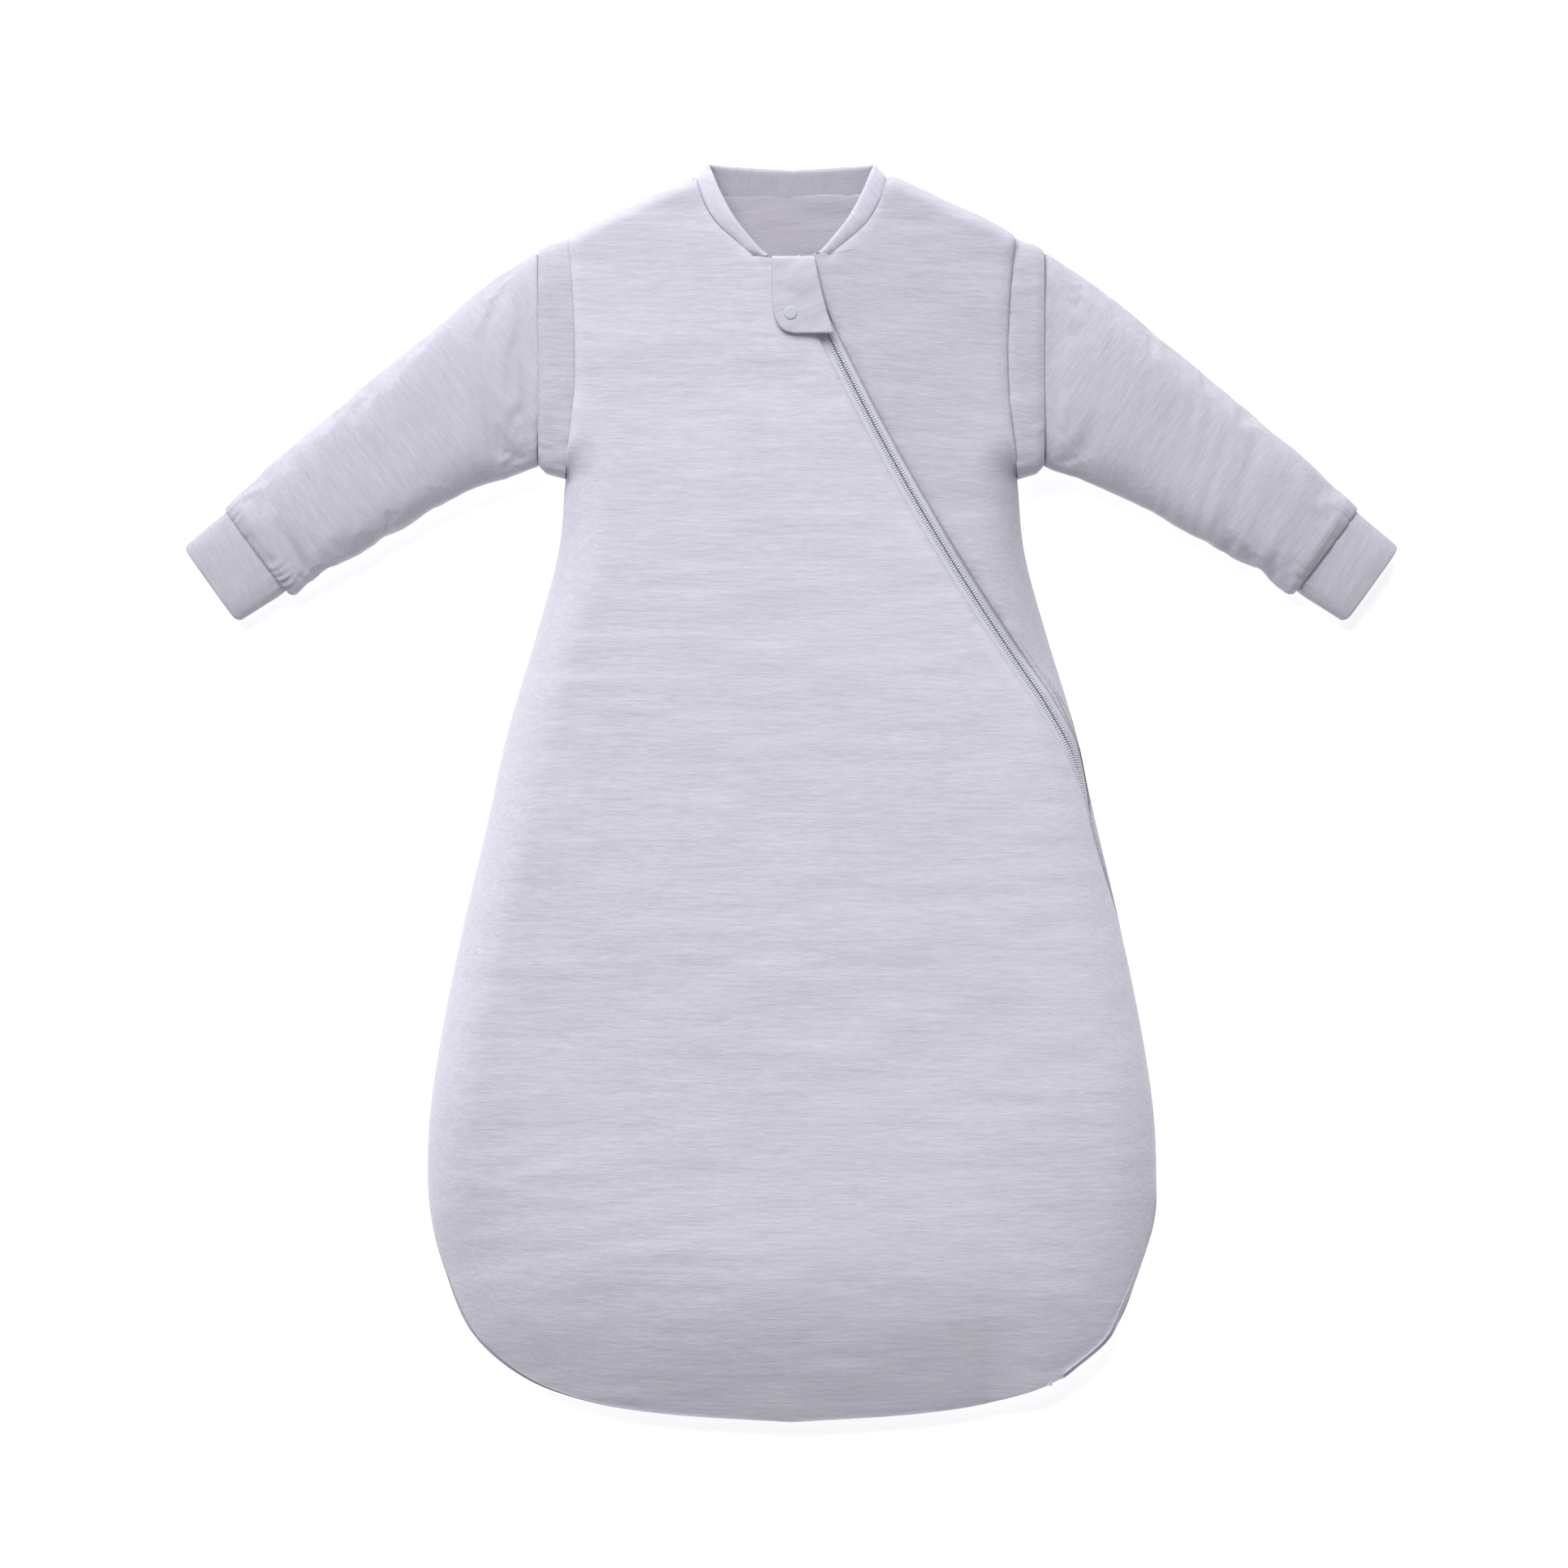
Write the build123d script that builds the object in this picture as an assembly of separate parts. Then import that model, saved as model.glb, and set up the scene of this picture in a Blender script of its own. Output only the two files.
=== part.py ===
from build123d import *
import math
import os

# Baby sleeping bag with detachable long sleeves, lying on its back, millimetres.
# +X is the right-hand side seen from above, +Y towards the neck, +Z up, the back lies on z = 0.
os.makedirs("parts", exist_ok=True)

# Layer heights of the padded panels
SHELL = 1.2            # outer jersey, doubled by its seam allowance
BACK_TOP = 12.0        # top of the padded back
FRONT_FLOOR = 26.0     # underside of the padded front
FRONT_TOP = 40.2       # outer face of the padded front
LINING = 1.0
SEAM_WIDTH = 8.0       # depth of the turned side and shoulder seams
SHARE_GAP = 0.05       # hairline between two sewn solids

# Front zip: number 5 nylon coil
ZIP_TOP = (0.5, 297.0)       # at the neckline
ZIP_TURN = (138.4, 53.8)     # where the chain leaves the front and turns down the side
ZIP_BEND_RADIUS = 1427.0     # gentle bow of the diagonal run
COIL_GAP = 0.7               # centre line to the inside of each coil
COIL_REACH = 3.0             # centre line to the outside of each coil
COIL_HALF = 1.1              # half the coil's height
TAPE_GAP = 0.6
TAPE_REACH = 10.0
TAPE_THICK = 0.6
CHAIN_Z = 37.1               # mid-height of the coils on the front
CHAIN_Z_SIDE = 19.0          # mid-height of the coils down the side
PANEL_REACH = 5.5            # centre line to the folded panel edges
WADDING_REACH = 10.3         # centre line to the wadding edge
FLAP_START = 20.5            # width of the folding panel at its narrow top end
FOLD_GAP = 0.2               # each side of the fold line
FOLD_TOP = 53.0              # arc length where the fold line leaves the chain
FOLD_END = (147.0, -326.0)

# Slider and pull
SLIDER_LENGTH = 12.0
SLIDER_WIDTH = 10.0
SLIDER_REST = 13.6           # arc length from the zip top to the slider centre
PULL_LENGTH = 11.0
PULL_WIDTH = 4.0

# Guard tab and snap
GUARD_AXIS = ((12.7, 297.0), (23.5, 255.0))
GUARD_BOTTOM = 42.4
GUARD_LAYER = 1.0
SNAP = (-0.5, 266.7)
SNAP_CAP = 7.2
SNAP_KNOB = 3.2

# Armhole bands and sleeves
BAND_EDGE = 140.0            # outer edge of the armhole band
BAND_HEIGHT = 33.0
BAND_HOLLOW = (183.5, 299.0)   # room inside the band, along the bag
BAND_FLOOR = 2.5
BAND_CEILING = 30.0
ROOT_START = 128.0           # inner end of the sleeve root, inside the band
ROOT_Y = (188.0, 294.5)
ROOT_Z = (6.8, 25.6)
SLEEVE_START = 141.0
SLEEVE_HEIGHT = 26.0
SLEEVE_WALL = (1.0, 7.0, 1.0)     # shell, wadding, lining
ROOT_WALL = (1.0, 4.0, 1.0)
CUFF_HEIGHT = 18.0
CUFF_WALL = 2.6
DETACH_COIL = 1.8            # thickness of the hidden sleeve zip halves

# Right half of the outline, shoulder tip to hem centre
SIDE = [(124, 310), (121, 275), (120, 235), (122, 207), (126, 175), (130, 135), (142, 90), (158, 36),
        (170, -18), (183, -73), (194, -127), (201, -172), (203, -208), (201, -236), (194, -263),
        (179, -299), (151, -324), (115, -338), (70, -345.5), (0, -350)]
NECK_POINT = (53.4, 342.3)
BACK_NECK = [(53.4, 342.3), (48, 335), (28, 331.6), (0, 330.6)]
COLLAR_SEAM = [(53.4, 342.3), (48.4, 327.4), (41, 315.5), (30.5, 306), (21, 298.2)]
COLLAR_EDGE = [(45.2, 350), (39.3, 334), (31.7, 319.7), (22.6, 308), (14.5, 298.6)]
ZIP_RAMP = [(148.6, 36.7, 35.6, 14), (155, 24.6, 32.5, 34), (160.3, 10.9, 28, 58),
            (164.3, -1.3, 23.6, 78), (168.2, -18, 19, 90)]     # x, y, height, roll in degrees
ZIP_END = (148.5, -323.5)
SLEEVE_TOP = [(141, 300), (183, 275), (237, 232), (283, 192), (315, 159)]
SLEEVE_UNDER = [(141, 182.7), (183, 166), (228, 140), (281, 113.5)]
CUFF_END = ((337, 139), (308, 97))


# ---------------------------------------------------------------- plane geometry
def mirrored(points):
    return [(-x, y) for x, y in reversed(points)]


def tangents(points):
    last = len(points) - 1
    out = []
    for i in range(len(points)):
        a, b = points[max(i - 1, 0)], points[min(i + 1, last)]
        size = math.hypot(b[0] - a[0], b[1] - a[1])
        out.append(((b[0] - a[0]) / size, (b[1] - a[1]) / size))
    return out


def shifted(points, distance):
    """The same run moved to the left of its direction of travel."""
    return [(x - ty * distance, y + tx * distance)
            for (x, y), (tx, ty) in zip(points, tangents(points))]


def extended(points, extra):
    t = tangents(points)
    first = (points[0][0] - t[0][0] * extra, points[0][1] - t[0][1] * extra)
    last = (points[-1][0] + t[-1][0] * extra, points[-1][1] + t[-1][1] * extra)
    return [first] + list(points) + [last]


def prism(runs, bottom, top):
    """A flat layer bounded by runs of points, each run one smooth curve."""
    runs = [list(run) for run in runs]
    edges = []
    for run, following in zip(runs, runs[1:] + runs[:1]):
        edges.append(Line(*run) if len(run) == 2 else Spline(*run))
        if math.dist(run[-1], following[0]) > 0.001:
            edges.append(Line(run[-1], following[0]))
    face = Face(Wire(edges))
    return extrude(Pos(0, 0, bottom) * face, amount=top - bottom, dir=(0, 0, 1))


def polygon(points, bottom, top):
    ring = list(points) + [points[0]]
    return prism([[a, b] for a, b in zip(ring, ring[1:])], bottom, top)


def block(x, y, z):
    """A box given by its limits along the three axes."""
    return Pos((x[0] + x[1]) / 2, (y[0] + y[1]) / 2, (z[0] + z[1]) / 2) * Box(
        x[1] - x[0], y[1] - y[0], z[1] - z[0])


def disc(centre, diameter, bottom, top):
    return Pos(centre[0], centre[1], (bottom + top) / 2) * Cylinder(diameter / 2, top - bottom)


def other_side(shape):
    return mirror(shape, about=Plane.YZ)


def save(shape, name):
    export_step(shape, f"parts/{name}.step")


# ---------------------------------------------------------------- zip path
def arc_centre():
    (x0, y0), (x1, y1) = ZIP_TOP, ZIP_TURN
    half = math.dist(ZIP_TOP, ZIP_TURN) / 2
    reach = math.sqrt(ZIP_BEND_RADIUS ** 2 - half ** 2)
    return ((x0 + x1) / 2 - (y1 - y0) / (2 * half) * reach,
            (y0 + y1) / 2 + (x1 - x0) / (2 * half) * reach)


CENTRE = arc_centre()
START_ANGLE = math.atan2(ZIP_TOP[1] - CENTRE[1], ZIP_TOP[0] - CENTRE[0])
TURN_ANGLE = math.atan2(ZIP_TURN[1] - CENTRE[1], ZIP_TURN[0] - CENTRE[0])
ARC_LENGTH = ZIP_BEND_RADIUS * (TURN_ANGLE - START_ANGLE)


def on_arc(length):
    angle = START_ANGLE + length / ZIP_BEND_RADIUS
    return (CENTRE[0] + ZIP_BEND_RADIUS * math.cos(angle),
            CENTRE[1] + ZIP_BEND_RADIUS * math.sin(angle))


def arc_run(start, end, count):
    return [on_arc(start + (end - start) * i / (count - 1)) for i in range(count)]


def side_run():
    """The chain down the side seam, a coil's height inside the outline."""
    run = shifted([p for p in SIDE if ZIP_END[1] + 6 < p[1] < -20], -2 * COIL_HALF)
    return run + [ZIP_END]


def zip_stations():
    """Centre, height and roll of the chain from the neckline to its end at the hem corner."""
    flat = [(x, y, CHAIN_Z, 0) for x, y in arc_run(0, ARC_LENGTH, 15)]
    side = [(x, y, CHAIN_Z_SIDE, 90) for x, y in side_run()]
    return flat + ZIP_RAMP + side


def bar(stations, across, through):
    """A strip along the chain; across is measured towards the opening panel, through outwards.

    across may change with the roll, so it is a function of it."""
    slopes = tangents([(x, y) for x, y, _, _ in stations])
    rings = []
    for (x, y, z, roll), (tx, ty) in zip(stations, slopes):
        c, s = math.cos(math.radians(roll)), math.sin(math.radians(roll))
        corners = []
        a0, a1 = across(roll)
        for a, b in ((a0, through[0]), (a1, through[0]), (a1, through[1]), (a0, through[1])):
            inward = a * c - b * s
            corners.append((x + ty * inward, y - tx * inward, z + a * s + b * c))
        rings.append(Wire.make_polygon(corners, close=True))
    return loft([Face(ring) for ring in rings], ruled=True)


def tape_width(roll):
    """Free tape beside the coil: full on the front, narrow where the chain turns."""
    if roll == 0:
        return TAPE_REACH
    return 4.0 if roll < 90 else 7.0


def coil(stations, side):
    return bar(stations, lambda roll: sorted((side * COIL_GAP, side * COIL_REACH)),
               (-COIL_HALF, COIL_HALF))


def tape(stations, side):
    return bar(stations, lambda roll: sorted((side * TAPE_GAP, side * tape_width(roll))),
               (-COIL_HALF - TAPE_THICK, -COIL_HALF - SHARE_GAP))


# ---------------------------------------------------------------- body regions
def whole_side(run):
    """Both halves of a side run joined at the hem centre, left shoulder tip to right."""
    return [(-x, y) for x, y in run] + list(reversed(run))[1:]


def back_layer(bottom, top):
    side = whole_side(SIDE)
    neck = BACK_NECK + mirrored(BACK_NECK)[1:]
    return prism([side, [side[-1], neck[0]], neck, [neck[-1], side[0]]], bottom, top)


def front_layer(bottom, top):
    side = whole_side(SIDE)
    right, left = COLLAR_SEAM, mirrored(COLLAR_SEAM)
    return prism([side, [side[-1], right[0]], right, [right[-1], left[0]], left,
                  [left[-1], side[0]]], bottom, top)


def beyond_zip(offset, bottom, top):
    """Everything right of the chain; offset moves the edge away from the opening panel."""
    ramp = [(x, y) for x, y, _, _ in ZIP_RAMP]
    path = arc_run(-12, ARC_LENGTH, 9) + ramp
    edge = shifted(path, offset)
    outer = [(260, edge[-1][1]), (260, 380), (edge[0][0], 380)]
    return prism([edge, [edge[-1], outer[0]], outer[:2], outer[1:], [outer[2], edge[0]]], bottom, top)


def fold_frame():
    """Start and end of the fold line and the unit vector along it."""
    start, end = on_arc(FOLD_TOP), FOLD_END
    size = math.dist(start, end)
    return start, end, ((end[0] - start[0]) / size, (end[1] - start[1]) / size)


def flap_arc_start():
    """Arc length where the chain is far enough from the fold line to swing clear."""
    (x0, y0), _, (dx, dy) = fold_frame()
    length = FOLD_TOP
    while True:
        x, y = on_arc(length)
        if (x - x0) * -dy + (y - y0) * dx > FLAP_START:
            return length
        length += 1.0


def flap_zone(gap, bottom, top):
    """The half of the front that folds open: right of the fold line, below its cut top end."""
    (x0, y0), _, (dx, dy) = fold_frame()
    x, y = on_arc(flap_arc_start())
    along = (x - x0) * dx + (y - y0) * dy + gap
    a = (x0 + dx * along - dy * gap, y0 + dy * along + dx * gap)
    b = (a[0] + dx * 640, a[1] + dy * 640)
    c = (b[0] - dy * 300, b[1] + dx * 300)
    d = (a[0] - dy * 300, a[1] + dx * 300)
    return polygon([a, b, c, d], bottom, top)


# ---------------------------------------------------------------- sub-parts
def make_back():
    save(back_layer(0, SHELL), "back_outer_shell")
    save(back_layer(SHELL, BACK_TOP - LINING), "back_wadding")
    save(back_layer(BACK_TOP - LINING, BACK_TOP), "back_lining")


def make_front():
    layers = {"lining": (FRONT_FLOOR, FRONT_FLOOR + LINING, PANEL_REACH),
              "wadding": (FRONT_FLOOR + LINING, FRONT_TOP - SHELL, WADDING_REACH),
              "shell": (FRONT_TOP - SHELL, FRONT_TOP, PANEL_REACH)}
    for name, (low, high, reach) in layers.items():
        whole = front_layer(low, high)
        opening = whole - beyond_zip(-reach, low - 1, high + 1)
        main = opening - flap_zone(-FOLD_GAP, low - 1, high + 1)
        if name == "wadding":
            main -= disc(SNAP, SNAP_CAP + 0.4, high - 1.2, high + 1)
        beside = whole & beyond_zip(reach, low - 1, high + 1)
        beside &= block((0, 200), (58, 400), (low - 1, high + 1))
        save(main, f"front_main_{name}")
        save(opening & flap_zone(FOLD_GAP, low - 1, high + 1), f"front_flap_{name}")
        save(beside, f"front_side_{name}")


def make_side_seams():
    whole = back_layer(BACK_TOP, FRONT_FLOOR)
    inner = shifted(SIDE, -SEAM_WIDTH)
    around = whole_side([(inner[0][0], 400)] + inner[1:])
    ring = whole - prism([around, [around[-1], around[0]]], BACK_TOP - 1, FRONT_FLOOR + 1)
    z = (BACK_TOP - 1, FRONT_FLOOR + 1)
    left = ring & block((-260, 250), (-360, 174), z)
    cut = ZIP_END[0] - 8
    left -= polygon([(cut, -400), (cut, -300), (0, 0), (0, 400), (300, 400), (300, -400)], *z)
    right = ring & block((100, 200), (62, 174), z)
    save(left, "side_seam_left")
    save(right, "side_seam_right")


def make_shoulder_seams():
    tip, neck = (120.0, 311.8), (55.0, 341.6)
    drop = (-4.0, -8.0)
    points = [tip, neck, (neck[0] + drop[0], neck[1] + drop[1]), (tip[0] + drop[0], tip[1] + drop[1])]
    right = polygon(points, BACK_TOP, FRONT_FLOOR)
    save(right, "shoulder_seam_right")
    save(other_side(right), "shoulder_seam_left")


def make_collar():
    low, high = 36.4, 39.8
    seam = shifted(COLLAR_SEAM, -SHARE_GAP)
    edge = list(reversed(COLLAR_EDGE))
    strip = prism([seam, [seam[-1], edge[0]], edge, [edge[-1], seam[0]]], low, high)
    turn = polygon([(46.2, 349), (52.4, 342.4), (47.9, 336.6), (41.6, 339.6)], 15, low)
    right = strip + turn
    save(right, "collar_right")
    save(other_side(right), "collar_left")
    seam = shifted(BACK_NECK, SHARE_GAP)
    lower = seam + mirrored(seam)[1:]
    top = [(-45.5, 350), (-30, 349.2), (0, 348), (30, 349.2), (45.5, 350)]
    save(prism([lower, [lower[-1], top[0]], top, [top[-1], lower[0]]], BACK_TOP, 15), "collar_back")


def make_bands():
    seam = shifted([p for p in SIDE if p[1] > 170], SHARE_GAP)
    seam = [(seam[0][0], 307.0)] + seam[1:-1] + [(seam[-1][0], 176.5)]
    corner = 5.0
    outer = prism([seam, [seam[-1], (BAND_EDGE - corner, 179.2)],
                   [(BAND_EDGE - corner, 179.2), (BAND_EDGE - 1.2, 181), (BAND_EDGE, 185)],
                   [(BAND_EDGE, 185), (BAND_EDGE, 299)],
                   [(BAND_EDGE, 299), (BAND_EDGE - 1.4, 302.6), (BAND_EDGE - corner, 304)],
                   [(BAND_EDGE - corner, 304), seam[0]]], 0, BAND_HEIGHT)
    hollow = block((110, 150), BAND_HOLLOW, (BAND_FLOOR, BAND_CEILING))
    right = outer - hollow
    save(right, "armhole_band_right")
    save(other_side(right), "armhole_band_left")


def square_ring(x, y, z, thick):
    """A rectangular ring round the X axis with its bore inside the given limits."""
    bore = block((x[0] - 1, x[1] + 1), y, z)
    wide = block(x, (y[0] - thick, y[1] + thick), (z[0] - thick, z[1] + thick))
    return wide - bore


def make_detach_zips():
    on_sleeve = square_ring((128.2, 130.6), ROOT_Y, ROOT_Z, DETACH_COIL)
    play = 2.3
    on_band = square_ring((131.2, 133.6), (ROOT_Y[0] - play, ROOT_Y[1] + play),
                          (ROOT_Z[0] - play, ROOT_Z[1] + play + 0.1), 2.0)
    slider = block((133.8, 138.8), (183.6, 185.7), (12, 20))
    for shape, name in ((on_sleeve, "sleeve_zip_coil"), (on_band, "armhole_zip_coil"),
                        (slider, "armhole_zip_slider")):
        save(shape, f"{name}_right")
        save(other_side(shape), f"{name}_left")


def sleeve_solid(inset, root_inset):
    """The sleeve filled solid, drawn in by the insets; both ends stay on their seam lines."""
    under = extended(shifted(SLEEVE_UNDER, inset), 12)
    top = list(reversed(extended(shifted(SLEEVE_TOP, -inset), 12)))
    sleeve = prism([under, [under[-1], top[0]], top, [top[-1], under[0]]],
                   inset, SLEEVE_HEIGHT - inset)
    (ex, ey), (ux, uy) = SLEEVE_TOP[-1], SLEEVE_UNDER[-1]
    zone = polygon([(SLEEVE_START, 120), (SLEEVE_START, 360), (ex + 20, 360), (ex, ey), (ux, uy),
                    (ux - 9, uy - 12), (SLEEVE_START, 60)], -1, SLEEVE_HEIGHT + 1)
    root = block((ROOT_START, SLEEVE_START + 6), (ROOT_Y[0] + root_inset, ROOT_Y[1] - root_inset),
                 (ROOT_Z[0] + root_inset, ROOT_Z[1] - root_inset))
    return (sleeve & zone) + root


def make_sleeves():
    depth, root_depth = 0.0, 0.0
    solids = [sleeve_solid(0, 0)]
    for wall, root_wall in zip(SLEEVE_WALL, ROOT_WALL):
        depth, root_depth = depth + wall, root_depth + root_wall
        solids.append(sleeve_solid(depth, root_depth))
    for name, outer, inner in zip(("shell", "wadding", "lining"), solids, solids[1:]):
        layer = outer - inner
        save(layer, f"sleeve_{name}_right")
        save(other_side(layer), f"sleeve_{name}_left")


def cuff_solid(inset):
    a, b = SLEEVE_TOP[-1], SLEEVE_UNDER[-1]
    c, d = CUFF_END[1], CUFF_END[0]
    ax, ay = (d[0] - a[0], d[1] - a[1])
    size = math.hypot(ax, ay)
    ax, ay = ax / size, ay / size
    nx, ny = -ay, ax
    reach = 20 if inset else 0
    gap = 0.1 - reach
    points = [(a[0] + ax * gap - nx * inset, a[1] + ay * gap - ny * inset),
              (b[0] + ax * gap + nx * inset, b[1] + ay * gap + ny * inset),
              (c[0] + ax * reach + nx * inset, c[1] + ay * reach + ny * inset),
              (d[0] + ax * reach - nx * inset, d[1] + ay * reach - ny * inset)]
    solid = polygon(points, inset, CUFF_HEIGHT - inset)
    if not inset:
        corners = solid.edges().filter_by(Axis.Z).sort_by(
            lambda e: math.dist((e.center().X, e.center().Y), ((c[0] + d[0]) / 2, (c[1] + d[1]) / 2)))
        solid = fillet(corners[:2], 4.0)
    return solid


def make_cuffs():
    cuff = cuff_solid(0) - cuff_solid(CUFF_WALL)
    save(cuff, "cuff_right")
    save(other_side(cuff), "cuff_left")


def make_zip():
    stations = zip_stations()
    start = flap_arc_start()
    upper = [(x, y, CHAIN_Z, 0) for x, y in arc_run(0, start - 3.0, 8)]
    lower = [(x, y, CHAIN_Z, 0) for x, y in arc_run(start + 0.4, ARC_LENGTH, 10)]
    lower = lower + stations[15:]
    save(tape(stations, -1), "zip_tape_body")
    save(coil(stations, -1), "zip_coil_body")
    save(tape(upper, 1), "zip_tape_main")
    save(coil(upper, 1), "zip_coil_main")
    save(tape(lower, 1), "zip_tape_flap")
    save(coil(lower, 1), "zip_coil_flap")


def at_arc(length, shape):
    """Places a shape drawn along the Y axis, its neck end up, on the chain."""
    x, y = on_arc(length)
    turn = math.degrees(START_ANGLE + length / ZIP_BEND_RADIUS) - 180
    return Pos(x, y, 0) * Rot(0, 0, turn) * shape


def make_stops():
    z = (CHAIN_Z - COIL_HALF, CHAIN_Z + COIL_HALF + 0.5)
    for name, side in (("zip_top_stop_main", -1), ("zip_top_stop_side", 1)):
        x = sorted((side * (COIL_REACH + 0.1), side * (COIL_REACH + 1.3)))
        save(at_arc(4.5, block(x, (-2, 2), z)), name)
    x, y = ZIP_END
    save(block((x - 6.4, x - 3.2), (y - 5.2, y - 0.6), (15.5, 22.5)), "zip_bottom_stop")


def make_slider():
    half, length = SLIDER_WIDTH / 2, SLIDER_LENGTH / 2
    crown, floor = CHAIN_Z + COIL_HALF + 0.6, CHAIN_Z - COIL_HALF - TAPE_THICK - 0.6
    top = block((-half, half), (-length, length), (crown, crown + 1.2))
    bottom = block((-half, half), (-length, length), (floor - 1.2, floor))
    top = fillet(top.edges().filter_by(Axis.Z), 2.0)
    bottom = fillet(bottom.edges().filter_by(Axis.Z), 2.0)
    flange = block((COIL_REACH + 0.9, half), (-length + 2.2, length - 2.2), (CHAIN_Z - 0.7, crown))
    divider = block((-0.4, 0.4), (length - 3.5, length - 0.5), (floor, crown))
    post = crown + 1.2
    bail = block((-0.9, 0.9), (-3.5, -2.3), (post, post + 2)) + block((-0.9, 0.9), (2.3, 3.5),
                                                                      (post, post + 2))
    bail += block((-0.9, 0.9), (-3.5, 3.5), (post + 1.2, post + 2))
    slider = top + bottom + flange + other_side(flange) + divider + bail
    save(at_arc(SLIDER_REST, slider), "slider_body")


def make_pull():
    """A short tab lying down the zip; its loop passes under the bail."""
    low, high = CHAIN_Z + COIL_HALF + 2.1, CHAIN_Z + COIL_HALF + 2.7
    half = PULL_WIDTH / 2
    tab = block((-half, half), (-PULL_LENGTH, 1.8), (low, high))
    tab = fillet(tab.edges().filter_by(Axis.Z), 1.2)
    tab -= block((-1.25, 1.25), (-4.0, 0.9), (low - 1, high + 1))
    save(at_arc(SLIDER_REST, tab), "zip_pull_tab")


def make_guard():
    (x0, y0), (x1, y1) = GUARD_AXIS
    bottom = 254.4
    gap = 0.3

    def layer(inset, low, high):
        left_top, left = (-11 + inset, y0 - inset), (-10 + inset, 264.5)
        arc = [left, (-7.3 + inset, 257.4 + inset / 2), (-1.2, bottom + inset)]
        right_low = (x1 - gap - inset, bottom + 0.8 + inset)
        right_top = (x0 - gap - inset, y0 - inset)
        return prism([[left_top, left], arc, [arc[-1], right_low], [right_low, right_top],
                      [right_top, left_top]], low, high)

    middle = GUARD_BOTTOM + GUARD_LAYER
    top = middle + GUARD_LAYER
    save(layer(0.5, GUARD_BOTTOM, middle), "guard_facing")
    save(layer(0, middle, top), "guard_outer")
    cap = disc(SNAP, SNAP_CAP, top, top + 0.9)
    save(fillet(cap.edges().sort_by(Axis.Z)[-1], 0.6), "snap_cap")
    socket = disc(SNAP, 6.4, GUARD_BOTTOM - 1, GUARD_BOTTOM) - disc(
        SNAP, SNAP_KNOB + 0.8, GUARD_BOTTOM - 2, GUARD_BOTTOM + 1)
    save(socket, "snap_socket")
    stud = disc(SNAP, SNAP_CAP, FRONT_TOP, FRONT_TOP + 0.7) + disc(
        SNAP, SNAP_KNOB, FRONT_TOP, FRONT_TOP + 1.8)
    save(stud, "snap_stud")
    save(disc(SNAP, SNAP_CAP, FRONT_TOP - SHELL - 0.9, FRONT_TOP - SHELL), "snap_stud_backing")
    save(polygon([(x0 + 0.8, y0), (x0 + 5.8, y0), (x1 + 3.4, 263), (x1 - 1.1, 263)],
                 FRONT_TOP, FRONT_TOP + 1.8), "guard_anchor")


make_back()
make_front()
make_side_seams()
make_shoulder_seams()
make_collar()
make_bands()
make_detach_zips()
make_sleeves()
make_cuffs()
make_zip()
make_stops()
make_slider()
make_pull()
make_guard()
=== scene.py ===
import math
import bmesh
import bpy
import numpy as np
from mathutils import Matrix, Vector


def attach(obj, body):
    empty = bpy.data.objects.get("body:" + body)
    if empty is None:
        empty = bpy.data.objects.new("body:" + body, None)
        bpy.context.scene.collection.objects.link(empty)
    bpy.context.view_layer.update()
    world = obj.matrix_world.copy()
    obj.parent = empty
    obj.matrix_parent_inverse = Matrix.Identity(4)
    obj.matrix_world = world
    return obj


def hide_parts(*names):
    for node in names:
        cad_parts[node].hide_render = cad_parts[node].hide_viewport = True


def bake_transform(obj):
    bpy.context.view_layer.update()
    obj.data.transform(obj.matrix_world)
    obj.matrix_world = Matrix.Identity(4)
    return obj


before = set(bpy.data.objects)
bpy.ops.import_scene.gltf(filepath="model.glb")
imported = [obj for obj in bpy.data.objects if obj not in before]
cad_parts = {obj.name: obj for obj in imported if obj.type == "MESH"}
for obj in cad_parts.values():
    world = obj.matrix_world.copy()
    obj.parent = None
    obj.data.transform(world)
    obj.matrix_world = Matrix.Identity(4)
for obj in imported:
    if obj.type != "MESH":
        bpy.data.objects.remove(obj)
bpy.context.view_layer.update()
mm = 0.001

# The cut of the bag, right half unless said, in millimetres. The left half is its mirror image.
bag = {
    "side": [(0, -350), (70, -345.5), (115, -338), (151, -324), (179, -299), (194, -263), (201, -236),
             (203, -208), (201, -172), (194, -127), (183, -73), (170, -18), (158, 36), (142, 90),
             (130, 135), (126, 175)],
    "armhole": [(126, 175), (122, 207), (120, 235), (121, 275), (124, 310)],
    "shoulder": [(124, 310), (108, 319.5), (88, 328.5), (68, 338), (57, 342.6), (53.4, 342.3)],
    "collarSeam": [(21, 298.2), (30.5, 306), (41, 315.5), (48.4, 327.4), (53.4, 342.3)],
    "zipTop": (0.5, 297.0),
    "zipTurn": (138.4, 53.8),
    "zipBow": 1427.0,
    "crown": [(-350, 44.0), (-250, 44.5), (-100, 45.5), (60, 44.5), (150, 42.6), (230, 41.2), (345, 40.6)],
    "seamHeight": 14.0,
    "padDepth": 13.0,
    "rowStep": 3.2,
    "columns": 112,
}


# Plane curves and noise

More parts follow.
